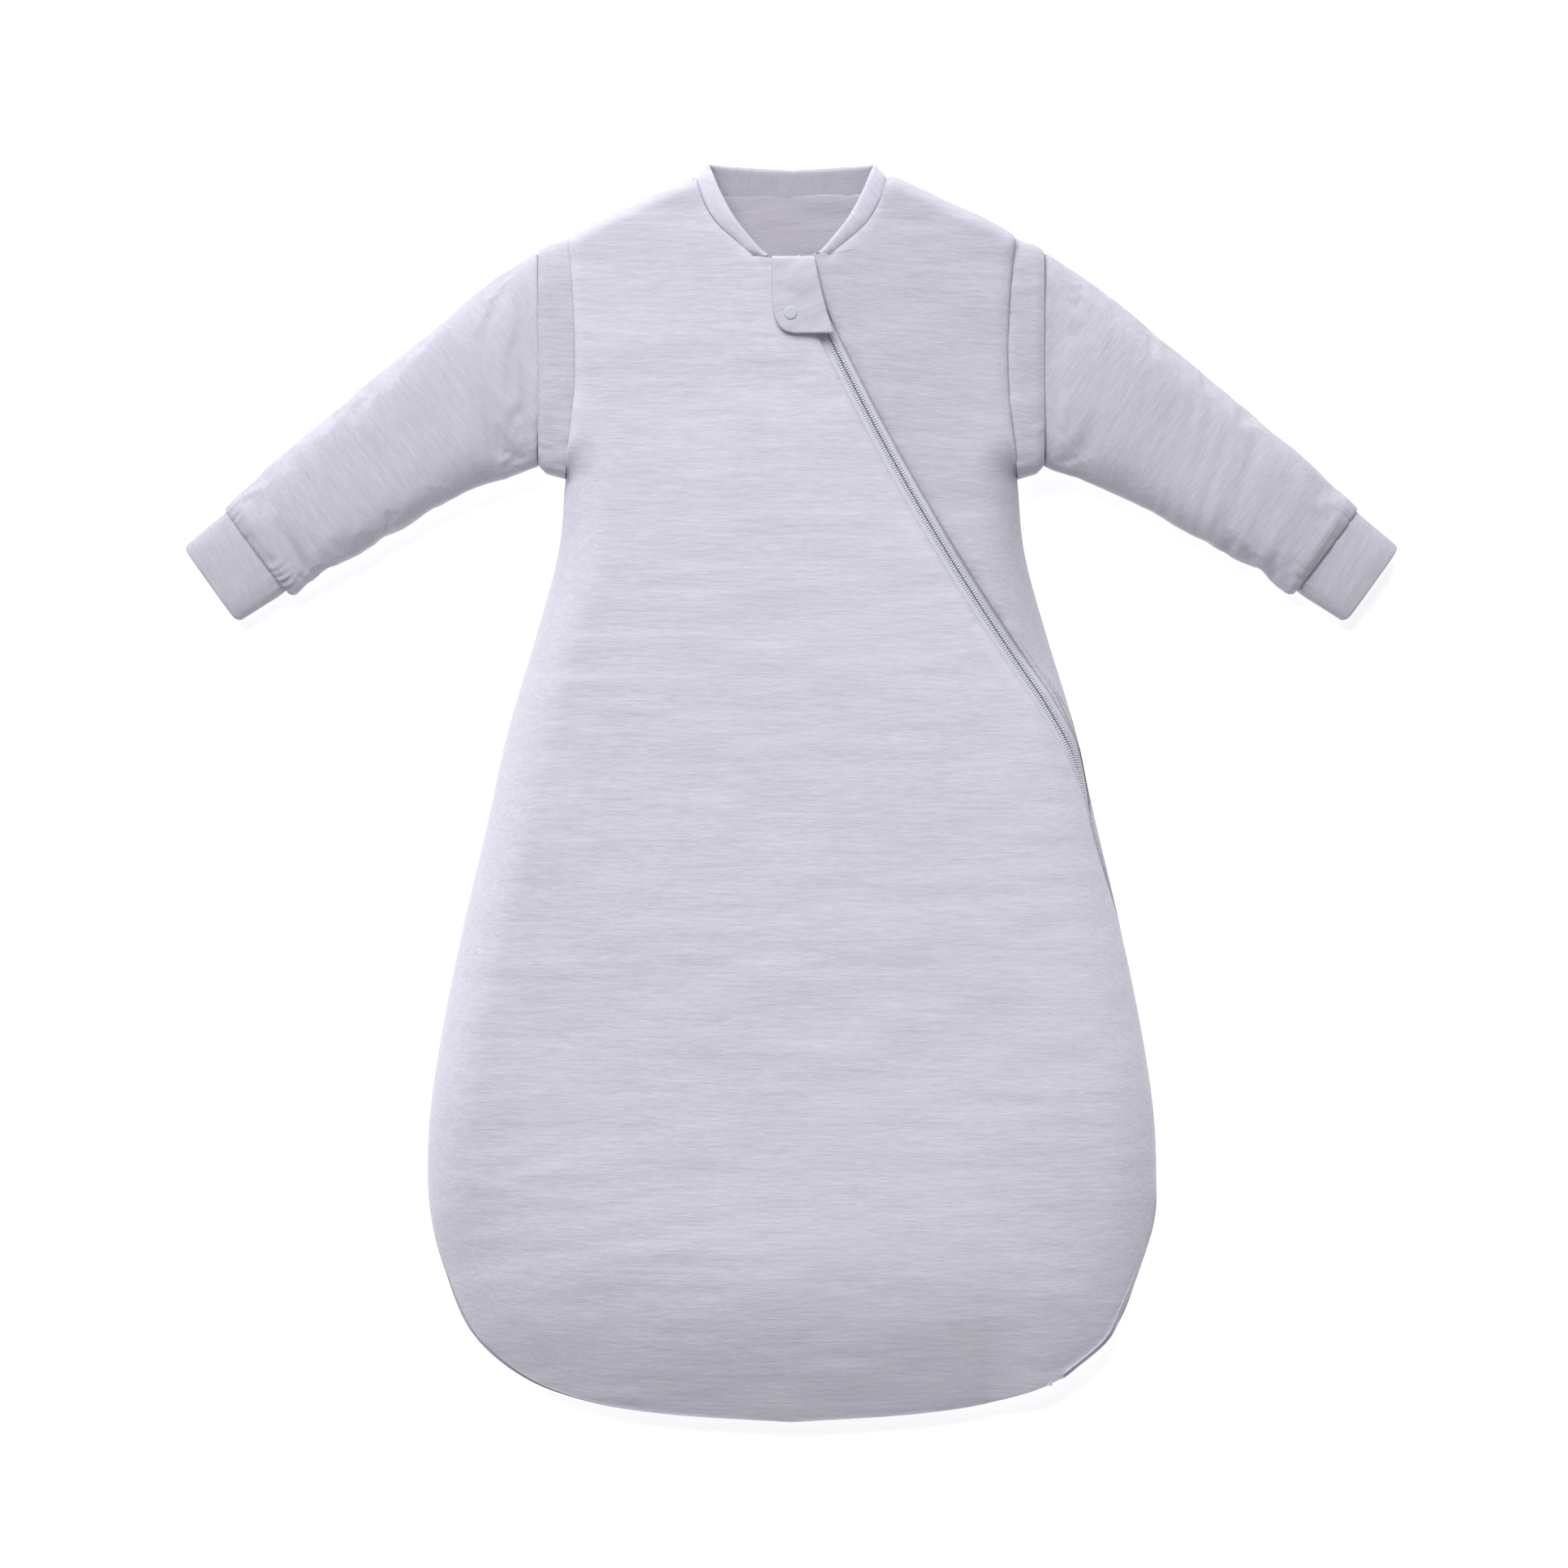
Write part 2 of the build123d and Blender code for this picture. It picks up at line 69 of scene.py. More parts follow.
def curveThrough(points, step=None, count=None):
    # a smooth run through the points, evenly spaced; works in two or three dimensions
    p = np.array(points, float) * mm
    p = np.vstack([2 * p[0] - p[1], p, 2 * p[-1] - p[-2]])
    t = np.linspace(0, 1, 24, endpoint=False)[:, None]
    dense = []
    for a, b, c, d in zip(p, p[1:], p[2:], p[3:]):
        dense.append(0.5 * (2 * b + (c - a) * t + (2 * a - 5 * b + 4 * c - d) * t ** 2
                            + (3 * b - a - 3 * c + d) * t ** 3))
    dense = np.vstack(dense + [p[-2:-1]])
    return evenly(dense, step * mm if step else None, count)


def evenly(line, step=None, count=None):
    travelled = walk(line)
    count = count or max(3, int(travelled[-1] / step) + 1)
    return spotsAt(line, travelled, np.linspace(0, travelled[-1], count))


def walk(line):
    # distance travelled along the line at each of its points
    return np.concatenate([[0], np.cumsum(np.linalg.norm(np.diff(line, axis=0), axis=1))])


def spotsAt(line, travelled, at):
    return np.stack([np.interp(at, travelled, line[:, k]) for k in range(line.shape[1])], axis=1)


def flip(line):
    return line * np.array([-1] + [1] * (line.shape[1] - 1))


def join(*lines):
    return np.vstack([lines[0]] + [line[1:] for line in lines[1:]])


def normals(line):
    # unit normals to the left of the direction of travel
    t = np.gradient(line[:, :2], axis=0)
    t /= np.linalg.norm(t, axis=1)[:, None] + 1e-12
    return np.stack([-t[:, 1], t[:, 0]], axis=1)


def distanceTo(points, line):
    a, b = line[:-1, :2], line[1:, :2]
    ab = b - a
    size = (ab ** 2).sum(1) + 1e-15
    best = np.full(len(points), 9.0)
    for start in range(0, len(points), 4000):
        p = points[start:start + 4000, None, :2]
        t = np.clip(((p - a) * ab).sum(2) / size, 0, 1)
        near = a + ab * t[..., None]
        best[start:start + 4000] = np.sqrt(((p - near) ** 2).sum(2)).min(1)
    return best


def smoothstep(x, low, high):
    t = np.clip((x - low) / (high - low), 0, 1)
    return t * t * (3 - 2 * t)


def wander(x, y, cell, seed):
    # smooth value noise between -1 and 1; cell is the size of one patch along x and y
    rng = np.random.default_rng(seed)
    lattice = rng.uniform(-1, 1, (256, 256))
    u, v = x / cell[0] + 40.3, y / cell[1] + 40.7
    i, j = np.floor(u).astype(int), np.floor(v).astype(int)
    fu, fv = u - i, v - j
    fu, fv = fu * fu * (3 - 2 * fu), fv * fv * (3 - 2 * fv)
    i, j, k, l = i % 256, j % 256, (i + 1) % 256, (j + 1) % 256
    low = lattice[i, j] * (1 - fu) + lattice[k, j] * fu
    high = lattice[i, l] * (1 - fu) + lattice[k, l] * fu
    return low * (1 - fv) + high * fv


# Meshes

def newPiece(name, points, faces, material, smooth=True):
    mesh = bpy.data.meshes.new(name)
    mesh.from_pydata([tuple(p) for p in points], [], faces)
    mesh.validate()
    mesh.update()
    piece = bpy.data.objects.new(name, mesh)
    bpy.context.scene.collection.objects.link(piece)
    mesh.polygons.foreach_set("use_smooth", [smooth] * len(mesh.polygons))
    for one in material if isinstance(material, (list, tuple)) else [material]:
        mesh.materials.append(one)
    return piece


def gridFaces(rows, columns, closed=False, offset=0, flipped=False):
    faces = []
    wide = columns if closed else columns - 1
    for r in range(rows - 1):
        for c in range(wide):
            a, b = r * columns + c, r * columns + (c + 1) % columns
            quad = (a, b, b + columns, a + columns)
            faces.append(tuple(offset + i for i in (reversed(quad) if flipped else quad)))
    return faces


def slabFaces(rows, columns):
    # two grids of the same size, closed along the rim between them; also returns the rim
    shift = rows * columns
    faces = gridFaces(rows, columns) + gridFaces(rows, columns, offset=shift, flipped=True)
    rim = ([c for c in range(columns)] + [r * columns + columns - 1 for r in range(1, rows)]
           + [(rows - 1) * columns + c for c in range(columns - 2, -1, -1)]
           + [r * columns for r in range(rows - 2, 0, -1)])
    for a, b in zip(rim, rim[1:] + rim[:1]):
        faces.append((b, a, a + shift, b + shift))
    return faces, rim


def slab(name, top, bottom, material):
    # top and bottom: rows x columns x 3
    faces, _ = slabFaces(*top.shape[:2])
    piece = newPiece(name, np.vstack([top.reshape(-1, 3), bottom.reshape(-1, 3)]), faces, material)
    weld(piece)
    return piece


# Padding blown up by cloth simulation, on a coarse copy whose movement is passed to the fine mesh
cloth = {"frames": 20, "pressure": 4.0, "grow": 0.010, "cap": 3.2, "mass": 0.25, "bend": 0.4}


def settle(points, faces, sewn):
    # how far each point moves when the closed skin is blown up with its seams held
    trial = newPiece("clothTrial", points, faces, [])
    held = trial.vertex_groups.new(name="sewn")
    held.add([int(i) for i in sewn], 1.0, "REPLACE")
    run = trial.modifiers.new("cloth", "CLOTH")
    how = run.settings
    how.use_pressure, how.uniform_pressure_force = True, cloth["pressure"]
    how.vertex_group_mass, how.shrink_min = "sewn", -cloth["grow"]
    how.mass, how.bending_stiffness, how.quality = cloth["mass"], cloth["bend"], 6
    how.effector_weights.gravity = 0
    run.collision_settings.use_collision = False
    run.point_cache.frame_start, run.point_cache.frame_end = 1, cloth["frames"]
    scene = bpy.context.scene
    for moment in range(1, cloth["frames"] + 1):
        scene.frame_set(moment)
    shape = trial.evaluated_get(bpy.context.evaluated_depsgraph_get())
    after = np.empty(len(points) * 3)
    shape.data.vertices.foreach_get("co", after)
    bpy.data.objects.remove(trial)
    scene.frame_set(1)
    move = after.reshape(-1, 3) - points
    far = np.linalg.norm(move, axis=1)[:, None]
    cap = cloth["cap"] * mm
    return move * cap * np.tanh(far / cap) / np.maximum(far, 1e-9)


def finer(coarse, rows, columns, rowAt, columnAt):
    # bilinear growth of a coarse grid of moves to the fine grid
    full = np.stack([spotsAt(coarse[:, c], rowAt, np.arange(rows)) for c in range(coarse.shape[1])], axis=1)
    return np.stack([spotsAt(full[r], columnAt, np.arange(columns)) for r in range(rows)])


def blowUp(top, bottom, step=3):
    # the two faces of a pad after the simulation, as grids
    rows, columns = top.shape[:2]
    rowAt = np.unique(np.append(np.arange(0, rows, step), rows - 1))
    columnAt = np.unique(np.append(np.arange(0, columns, step), columns - 1))
    coarseTop, coarseLow = top[np.ix_(rowAt, columnAt)], bottom[np.ix_(rowAt, columnAt)]
    faces, rim = slabFaces(len(rowAt), len(columnAt))
    count = len(rowAt) * len(columnAt)
    points = np.vstack([coarseTop.reshape(-1, 3), coarseLow.reshape(-1, 3)])
    move = settle(points, faces, rim + [i + count for i in rim])
    shape = coarseTop.shape
    up = finer(move[:count].reshape(shape), rows, columns, rowAt, columnAt)
    down = finer(move[count:].reshape(shape), rows, columns, rowAt, columnAt)
    return top + up, bottom + down


def blowUpTube(loops, heldEnd, step=3):
    # the same for a tube of loops; the first loops and the last ones are held
    stations, around = loops.shape[:2]
    rowAt = np.unique(np.append(np.arange(0, stations, step), stations - 1))
    coarse = loops[rowAt][:, ::step]
    wide = coarse.shape[1]
    faces = gridFaces(len(rowAt), wide, closed=True)
    held = [r * wide + c for r in range(len(rowAt)) for c in range(wide)
            if rowAt[r] < heldEnd or rowAt[r] > stations - 4]
    move = settle(coarse.reshape(-1, 3), faces, held).reshape(coarse.shape)
    move = np.concatenate([move, move[:, :1]], axis=1)
    return loops + finer(move, stations, around + 1, rowAt, np.arange(wide + 1) * step)[:, :around]


def weld(piece, distance=2e-5):
    bpy.context.view_layer.objects.active = piece
    fix = piece.modifiers.new("weld", "WELD")
    fix.merge_threshold = distance
    bpy.ops.object.modifier_apply(modifier=fix.name)
    piece.data.polygons.foreach_set("use_smooth", [True] * len(piece.data.polygons))


def tube(name, loops, material, closedEnds=True):
    # loops: stations x around x 3, listed from the outside in; the last joins the first when closed
    stations, around = loops.shape[:2]
    faces = gridFaces(stations, around, closed=True)
    if closedEnds:
        last = (stations - 1) * around
        faces += [(last + c, last + (c + 1) % around, (c + 1) % around, c) for c in range(around)]
    return newPiece(name, loops.reshape(-1, 3), faces, material)


def capsule(length, thick, rings=5, around=6):
    # a small rounded bead along x
    points, faces = [], []
    for r in range(rings):
        a = math.pi * r / (rings - 1)
        for k in range(around):
            b = 2 * math.pi * k / around
            points.append((-math.cos(a) * length / 2, math.sin(a) * thick / 2 * math.cos(b),
                           math.sin(a) * thick / 2 * math.sin(b)))
    for r in range(rings - 1):
        for k in range(around):
            a, b = r * around + k, r * around + (k + 1) % around
            faces.append((a, b, b + around, a + around))
    return np.array(points), faces


# Materials

class Strand:
    # a shader socket that can be used in arithmetic
    def __init__(self, tree, socket=None):
        self.tree, self.socket = tree, socket

    def node(self, kind, settings=None, values=None, output=0):
        made = self.tree.nodes.new(kind)
        for key, value in (settings or {}).items():
            if key == "stops":
                ramp = made.color_ramp
                while len(ramp.elements) < len(value):
                    ramp.elements.new(0.5)
                for element, (place, colour) in zip(ramp.elements, value):
                    element.position, element.color = place, tuple(colour) + (1,) * (4 - len(colour))
            else:
                setattr(made, key, value)
        for key, value in (values or {}).items():
            if isinstance(value, Strand):
                self.tree.links.new(value.socket, made.inputs[key])
            else:
                made.inputs[key].default_value = value
        return Strand(self.tree, made.outputs[output] if made.outputs else None)

    def sum(self, operation, first, second):
        return self.node("ShaderNodeMath", {"operation": operation}, {0: first, 1: second})

    def __add__(self, other):
        return self.sum("ADD", self, other)

    def __sub__(self, other):
        return self.sum("SUBTRACT", self, other)

    def __rsub__(self, other):
        return self.sum("SUBTRACT", other, self)

    def __mul__(self, other):
        return self.sum("MULTIPLY", self, other)

    __radd__, __rmul__ = __add__, __mul__


def newMaterial(name):
    material = bpy.data.materials.new(name)
    material.use_nodes = True
    material.node_tree.nodes.clear()
    return material, Strand(material.node_tree)


def finishMaterial(strand, surface, height=None, strength=0.3, reach=0.001):
    # surface: the shader's own sockets; height feeds the bump
    if height is not None:
        surface["Normal"] = strand.node("ShaderNodeBump", None,
                                        {"Strength": strength, "Distance": reach, "Height": height})
    shader = strand.node("ShaderNodeBsdfPrincipled", None, surface)
    strand.node("ShaderNodeOutputMaterial", None, {"Surface": shader})


def mixColour(strand, mask, first, second):
    return strand.node("ShaderNodeMix", {"data_type": "RGBA"}, {0: mask, 6: first, 7: second}, output=2)


def noise(strand, where, scale, detail=2.0, rough=0.5):
    return strand.node("ShaderNodeTexNoise", None,
                       {"Vector": where, "Scale": scale, "Detail": detail, "Roughness": rough})


def place(strand, turn, stretch):
    # object coordinates in millimetres, turned in the plane, then stretched along the yarn
    here = strand.node("ShaderNodeTexCoord", None, None, output=3)
    turned = strand.node("ShaderNodeMapping", {"vector_type": "POINT"},
                         {"Vector": here, "Rotation": (0, 0, math.radians(turn))})
    return strand.node("ShaderNodeMapping", {"vector_type": "POINT"},
                       {"Vector": turned, "Scale": stretch})


jersey = {
    "pale": (0.735, 0.722, 0.812),
    "deep": (0.605, 0.590, 0.700),
    "warm": (0.712, 0.680, 0.760),
    "sheen": 0.12,
    "rough": 0.92,
}


def jerseyMaterial(name, turn=0.0, shade=1.0, bump=1.0, ribs=0.0, warmth=0.25):
    # melange knit: slub streaks along the courses, small flecks, and the knit's own fine ribbing
    material, strand = newMaterial(name)
    slub = noise(strand, place(strand, turn, (95, 780, 780)), 1.0, 3.0, 0.6)
    longSlub = noise(strand, place(strand, turn, (30, 300, 300)), 1.0, 2.0, 0.5)
    fleck = noise(strand, place(strand, turn, (260, 2200, 2200)), 1.0, 1.0, 0.5)
    cloud = noise(strand, place(strand, turn, (9, 9, 9)), 1.0, 1.0, 0.5)
    mask = slub * 0.9 + fleck * 0.5 + longSlub * 0.5
    mask = strand.node("ShaderNodeMapRange", None,
                       {"Value": mask, "From Min": 0.70, "From Max": 1.22})
    scaled = {key: tuple(c * shade for c in jersey[key]) + (1,) for key in ("pale", "deep", "warm")}
    colour = mixColour(strand, mask, scaled["deep"], scaled["pale"])
    tint = strand.node("ShaderNodeMapRange", None,
                       {"Value": cloud, "From Min": 0.35, "From Max": 0.75, "To Max": warmth})
    colour = mixColour(strand, tint, colour, scaled["warm"])
    knit = strand.node("ShaderNodeTexWave", {"wave_type": "BANDS", "bands_direction": "X"},
                       {"Vector": place(strand, turn, (1, 1, 1)), "Scale": 420.0, "Distortion": 1.2,
                        "Detail": 1.0, "Detail Scale": 2.0})
    height = slub * 0.8 + longSlub * 0.9 + fleck * 0.35 + knit * 0.06
    if ribs:
        rib = strand.node("ShaderNodeTexWave", {"wave_type": "BANDS", "bands_direction": "X"},
                          {"Vector": place(strand, turn, (1, 1, 1)), "Scale": ribs, "Distortion": 0.4})
        height = height + rib * 0.5
    finishMaterial(strand, {"Base Color": colour, "Roughness": jersey["rough"],
                            "Sheen Weight": jersey["sheen"], "Sheen Roughness": 0.45,
                            "Specular IOR Level": 0.15},
                   height, 0.22 * bump, 0.0011)
    return material


def plainMaterial(name, colour, rough, grain=400.0, bump=0.15, metallic=0.0, variation=0.06):
    # moulded or enamelled pieces: faint cloudiness and fine grain
    material, strand = newMaterial(name)
    spot = noise(strand, place(strand, 0, (1, 1, 1)), grain, 3.0, 0.6)
    base = tuple(colour) + (1,)
    dim = tuple(c * (1 - variation * 3) for c in colour) + (1,)
    mixed = mixColour(strand, spot, dim, base)
    finishMaterial(strand, {"Base Color": mixed, "Roughness": spot * 0.18 + rough,
                            "Metallic": metallic, "Specular IOR Level": 0.4}, spot, bump, 0.0002)
    return material


def tapeMaterial(name):
    # woven zip tape: a fine herringbone along the chain
    material, strand = newMaterial(name)
    where = place(strand, 24, (1, 1, 1))
    first = strand.node("ShaderNodeTexWave", {"bands_direction": "DIAGONAL"},
                        {"Vector": where, "Scale": 520.0, "Distortion": 0.6})
    spot = noise(strand, where, 900.0, 2.0, 0.6)
    colour = mixColour(strand, first * 0.6 + spot * 0.4, (0.60, 0.605, 0.68, 1), (0.68, 0.685, 0.765, 1))
    finishMaterial(strand, {"Base Color": colour, "Roughness": 0.85, "Sheen Weight": 0.15},
                   first + spot, 0.35, 0.0003)
    return material


# Every finish, by the piece that wears it

print("materials")
bodyJersey = jerseyMaterial("bodyJersey", turn=0, shade=0.975)
# The sleeves, cuffs, armhole bands and side panel take darker copies of the body's knit: painted shade where
# less light falls on them, with the right sleeve and cuff darker than the left ones for light from the left
sideJerseyShaded = jerseyMaterial("sideJerseyShaded", turn=4, shade=0.85)
leftSleeveJerseyShaded = jerseyMaterial("leftSleeveJerseyShaded", turn=55, shade=0.86)
rightSleeveJerseyShaded = jerseyMaterial("rightSleeveJerseyShaded", turn=-55, shade=0.835)
bandJerseyShaded = jerseyMaterial("bandJerseyShaded", turn=2, shade=0.835, bump=1.3)
cuffJerseyShaded = jerseyMaterial("cuffJerseyShaded", turn=60, shade=0.80, bump=0.5)
cuffJerseyRightShaded = jerseyMaterial("cuffJerseyRightShaded", turn=-60, shade=0.775, bump=0.5)
collarJersey = jerseyMaterial("collarJersey", turn=50, shade=0.99, bump=0.5)
# The collar's inside: rib and a warmer tint, and a darker shade than the outside, which is painted shadow
# inside the collar
collarInsideShaded = jerseyMaterial("collarInsideShaded", turn=90, shade=0.87, bump=0.5, ribs=300.0, warmth=0.8)
guardJersey = jerseyMaterial("guardJersey", turn=-24, shade=0.90, bump=0.6)
liningJersey = jerseyMaterial("liningJersey", turn=-8, shade=0.69, warmth=1.0)
zipTape = tapeMaterial("zipTapeWeave")
coilNylon = plainMaterial("coilNylon", (0.70, 0.705, 0.785), 0.5, variation=0.02)
stitchThread = plainMaterial("stitchThread", (0.80, 0.805, 0.865), 0.75, variation=0.01)
seamThread = plainMaterial("seamThread", (0.50, 0.49, 0.57), 0.8)
snapPlastic = plainMaterial("snapPlastic", (0.585, 0.61, 0.675), 0.45, variation=0.02)
stopPlastic = plainMaterial("stopPlastic", (0.62, 0.63, 0.69), 0.4)
sliderEnamel = plainMaterial("sliderEnamel", (0.60, 0.60, 0.67), 0.34, metallic=0.2)


# The bag's lines

side = curveThrough(bag["side"], step=2)
armhole = curveThrough(bag["armhole"], step=2)
shoulder = curveThrough(bag["shoulder"], step=2)
collarSeam = curveThrough(bag["collarSeam"], step=2)


def zipArc():
    (x0, y0), (x1, y1) = bag["zipTop"], bag["zipTurn"]
    half = math.dist(bag["zipTop"], bag["zipTurn"]) / 2
    reach = math.sqrt(bag["zipBow"] ** 2 - half ** 2)
    cx = (x0 + x1) / 2 - (y1 - y0) / (2 * half) * reach
    cy = (y0 + y1) / 2 + (x1 - x0) / (2 * half) * reach
    a0, a1 = math.atan2(y0 - cy, x0 - cx), math.atan2(y1 - cy, x1 - cx)
    angles = np.linspace(a0, a1, arcPoints)
    return np.stack([cx + bag["zipBow"] * np.cos(angles), cy + bag["zipBow"] * np.sin(angles)],
                    axis=1) * mm


arcPoints = 141

# The chain after the arc: x, y, height, roll from flat to upright
zipRun = {
    "turn": [(138.4, 53.8, 37.1, 0), (148.6, 36.7, 35.4, 10), (155, 24.6, 32.8, 26),
             (159.9, 10.9, 28.8, 48), (163.3, -1.3, 25.0, 68), (167.0, -18, 21.0, 84)],
    "down": [(180.6, -73, 19, 90), (192, -127, 19, 90), (199, -172, 19, 90), (201, -208, 19.3, 90),
             (199.9, -236, 19.4, 90), (191.6, -266, 20.2, 84), (183.6, -285.6, 20.2, 84),
             (174.2, -303.0, 19.8, 90), (151.2, -322.6, 19.5, 90)],
    "pitch": 1.42,
    "flatHeight": 37.1,
    "panelReach": 5.2,
    "tapeReach": 9.0,
    "endGap": 2.5,
}


def zipChain():
    arc = zipArc()
    flat = np.column_stack([arc, np.full(len(arc), zipRun["flatHeight"] * mm), np.zeros(len(arc))])
    bend = curveThrough(zipRun["turn"] + zipRun["down"], step=2)
    bend[:, 3] /= mm
    return np.vstack([flat, bend[1:]])


chain = zipChain()


def crownAt(y):
    heights = np.array(bag["crown"]) * mm
    return np.interp(y, heights[:, 0], heights[:, 1])


def rounded(distance, width):
    # 0 at the seam, 1 from width inwards, along a quarter ellipse
    t = np.clip(1 - distance / width, 0, 1)
    return np.sqrt(1 - t * t)


fullSide = join(flip(side)[::-1], side)


def frontHeight(p, zipRise):
    # outer face of the padded front above the floor; its rim runs zipRise higher along the zip
    x, y = p[:, 0], p[:, 1]
    crown = crownAt(y)
    onZipSide = smoothstep(x, 0.105, 0.142) * smoothstep(-y, -0.030, 0.020)
    seam = (bag["seamHeight"] + zipRise * onZipSide) * mm
    drops = []
    nearHem = smoothstep(-y, 0.150, 0.325)
    edge = distanceTo(p, fullSide)
    fall = (1 - nearHem) * (1 - rounded(edge, 0.028)) + nearHem * np.clip(1 - edge / 0.108, 0, 1) ** 2
    drops.append((crown - seam) * fall)
    for line in (shoulder, flip(shoulder)):
        drops.append(0.0105 * (1 - rounded(distanceTo(p, line), 0.009)))
    for line in (armhole, flip(armhole)):
        drops.append(0.0034 * (1 - rounded(distanceTo(p, line), 0.008)))
    for line in (collarSeam, flip(collarSeam)):
        drops.append(0.0018 * (1 - rounded(distanceTo(p, line), 0.006)))
    zipLine = chain[:arcPoints + 12, :2]
    drops.append(0.0034 * (1 - rounded(np.maximum(distanceTo(p, zipLine) - 0.0046, 0), 0.0085)))
    total = (sum(np.maximum(d, 0) ** 3 for d in drops)) ** (1 / 3)
    z = crown - total
    swell = wander(x, y, (0.085, 0.075), 3) * 0.0010 + wander(x, y, (0.040, 0.022), 5) * 0.0005
    courses = wander(x, y, (0.040, 0.0075), 11) * 0.00030
    lowerLeft = smoothstep(-y, 0.12, 0.26) * smoothstep(-x, 0.02, 0.12)
    slant = wander(x + 0.36 * y, y - 0.36 * x, (0.050, 0.0085), 17) * 0.00030 * lowerLeft
    calm = rounded(distanceTo(p, fullSide), 0.012)
    return np.maximum(z + (swell + courses + slant) * calm, seam)


def atHeights(line, ys):
    order = np.argsort(line[:, 1], kind="stable")
    return np.column_stack([np.interp(ys, line[order, 1], line[order, 0]), ys])


def raised(flat, z):
    return np.concatenate([flat, z.reshape(flat.shape[:2])[..., None]], axis=2)


def spread(count, pull=0.6):
    # 0 to 1, closer together towards both ends
    s = np.linspace(0, 1, count)
    return s - pull * np.sin(2 * math.pi * s) / (2 * math.pi)


def rungs(left, right, columns):
    t = spread(columns)[None, :, None]
    return left[:, None, :2] * (1 - t) + right[:, None, :2] * t


def narrowed(flat, inset):
    # every row drawn in from both ends by inset
    first, last = flat[:, :1], flat[:, -1:]
    wide = np.linalg.norm(last - first, axis=2, keepdims=True) + 1e-9
    return flat + (first + last - 2 * flat) * np.minimum(inset * mm / wide, 0.35)


def recalc(piece):
    shape = bmesh.new()
    shape.from_mesh(piece.data)
    bmesh.ops.recalc_face_normals(shape, faces=shape.faces)
    shape.to_mesh(piece.data)
    shape.free()
    piece.data.polygons.foreach_set("use_smooth", [True] * len(piece.data.polygons))
    return piece


def softPad(name, flat, outer, thickness, rimWidth, material, rim, blown=False):
    # outer: heights; the pad closes to nothing at its rim over rimWidth
    points = flat.reshape(-1, 2)
    gap = distanceTo(points, rim)
    inner = outer - thickness * rounded(gap, rimWidth) - 0.00005
    top, low = raised(flat, outer), raised(flat, inner)
    if blown:
        newTop, newLow = blowUp(top, low)
        guardEdge = np.array([(-0.012, 0.298), (-0.012, 0.254), (0.024, 0.254), (0.013, 0.298)])
        calm = (smoothstep(distanceTo(points, guardEdge), 0.004, 0.045)
                * smoothstep(gap, 0.0, 0.006)).reshape(top.shape[:2])[..., None]
        top, low = top + (newTop - top) * calm, low + (newLow - low) * calm
    return recalc(slab(name, top, low, material)), low


def chainEdge(reach, outward=0.0, sign=1):
    # a line beside the chain; sign 1 is the opening panel's side
    t = np.gradient(chain[:, :2], axis=0)
    t /= np.linalg.norm(t, axis=1)[:, None]
    inward = np.stack([t[:, 1], -t[:, 0]], axis=1)
    roll = np.radians(chain[:, 3])
    c, s = np.cos(roll), np.sin(roll)
    a, b = sign * reach * mm, outward * mm
    flat = chain[:, :2] + inward * (a * c - b * s)[:, None]
    return np.column_stack([flat, chain[:, 2] + a * s + b * c])


# The front

def panelRim():
    # beside the chain while it lies flat; below the turn it leaves a sliver bare, then covers the chain
    sliver = np.exp(-((chain[:, 1] + 0.022) / 0.036) ** 2)
    return chainEdge(zipRun["panelReach"], outward=1.9 - 2.9 * sliver)


foldLine = {"top": (22.8946, 248.9671), "end": (147.0, -326.0), "before": 8.0, "after": 14.0, "height": 40.2}
foldDir = (np.array(foldLine["end"]) - np.array(foldLine["top"]))
foldDir = foldDir / np.linalg.norm(foldDir)


def foldAcross(piece):
    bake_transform(piece)


def frontGrid():
    leftLow = flip(join(side, armhole))
    keep = leftLow[:, 1] < 0.290
    tuck = 0.0014 * np.exp(-((leftLow[:, 1] + 0.285) / 0.028) ** 2)
    leftLow = leftLow + normals(leftLow) * -tuck[:, None]
    leftLow = evenly(leftLow[keep], step=bag["rowStep"] * mm)
    ys = leftLow[:, 1].copy()
    ys[0] = -0.350
    edge = panelRim()[::-1]
    hem = side[(side[:, 0] < 0.1485) & (side[:, 1] < -0.2)]
    rightLine = np.vstack([hem, edge[:, :2]])
    low = atHeights(rightLine, ys)
    fan = 44
    leftTop = evenly(join(leftLow[-1:], flip(join(armhole[armhole[:, 1] > 0.291], shoulder))), count=fan)
    topEdge = edge[edge[:, 1] > ys[-1], :2]
    neck = np.array([[-0.021, 0.2982]])
    rightTop = evenly(np.vstack([low[-1:], topEdge, neck, flip(collarSeam)[1:]]), count=fan)
    left = np.vstack([leftLow[:, :2], leftTop[1:]])
    right = np.vstack([low, rightTop[1:]])
    flat = rungs(left, right, bag["columns"])
    rim = np.vstack([left, right[::-1]])
    return flat, rim


def frontSurface(flat, zipRise=7.8):
    points = flat.reshape(-1, 2)
    z = frontHeight(points, zipRise)
    x, y = points[:, 0], points[:, 1]
    # puckers where the panel is sewn to the zip and the bands
    zipLine = chain[:arcPoints + 20, :2]
    nearZip = np.exp(-np.maximum(distanceTo(points, zipLine) - 0.005, 0) / 0.006)
    along = x * foldDir[0] + y * foldDir[1]
    z += nearZip * wander(along, along * 0, (0.0042, 1), 23) * 0.00055
    for line in (armhole, flip(armhole)):
        z += np.exp(-distanceTo(points, line) / 0.006) * wander(y, y * 0, (0.0045, 1), 29) * 0.0005
    return z


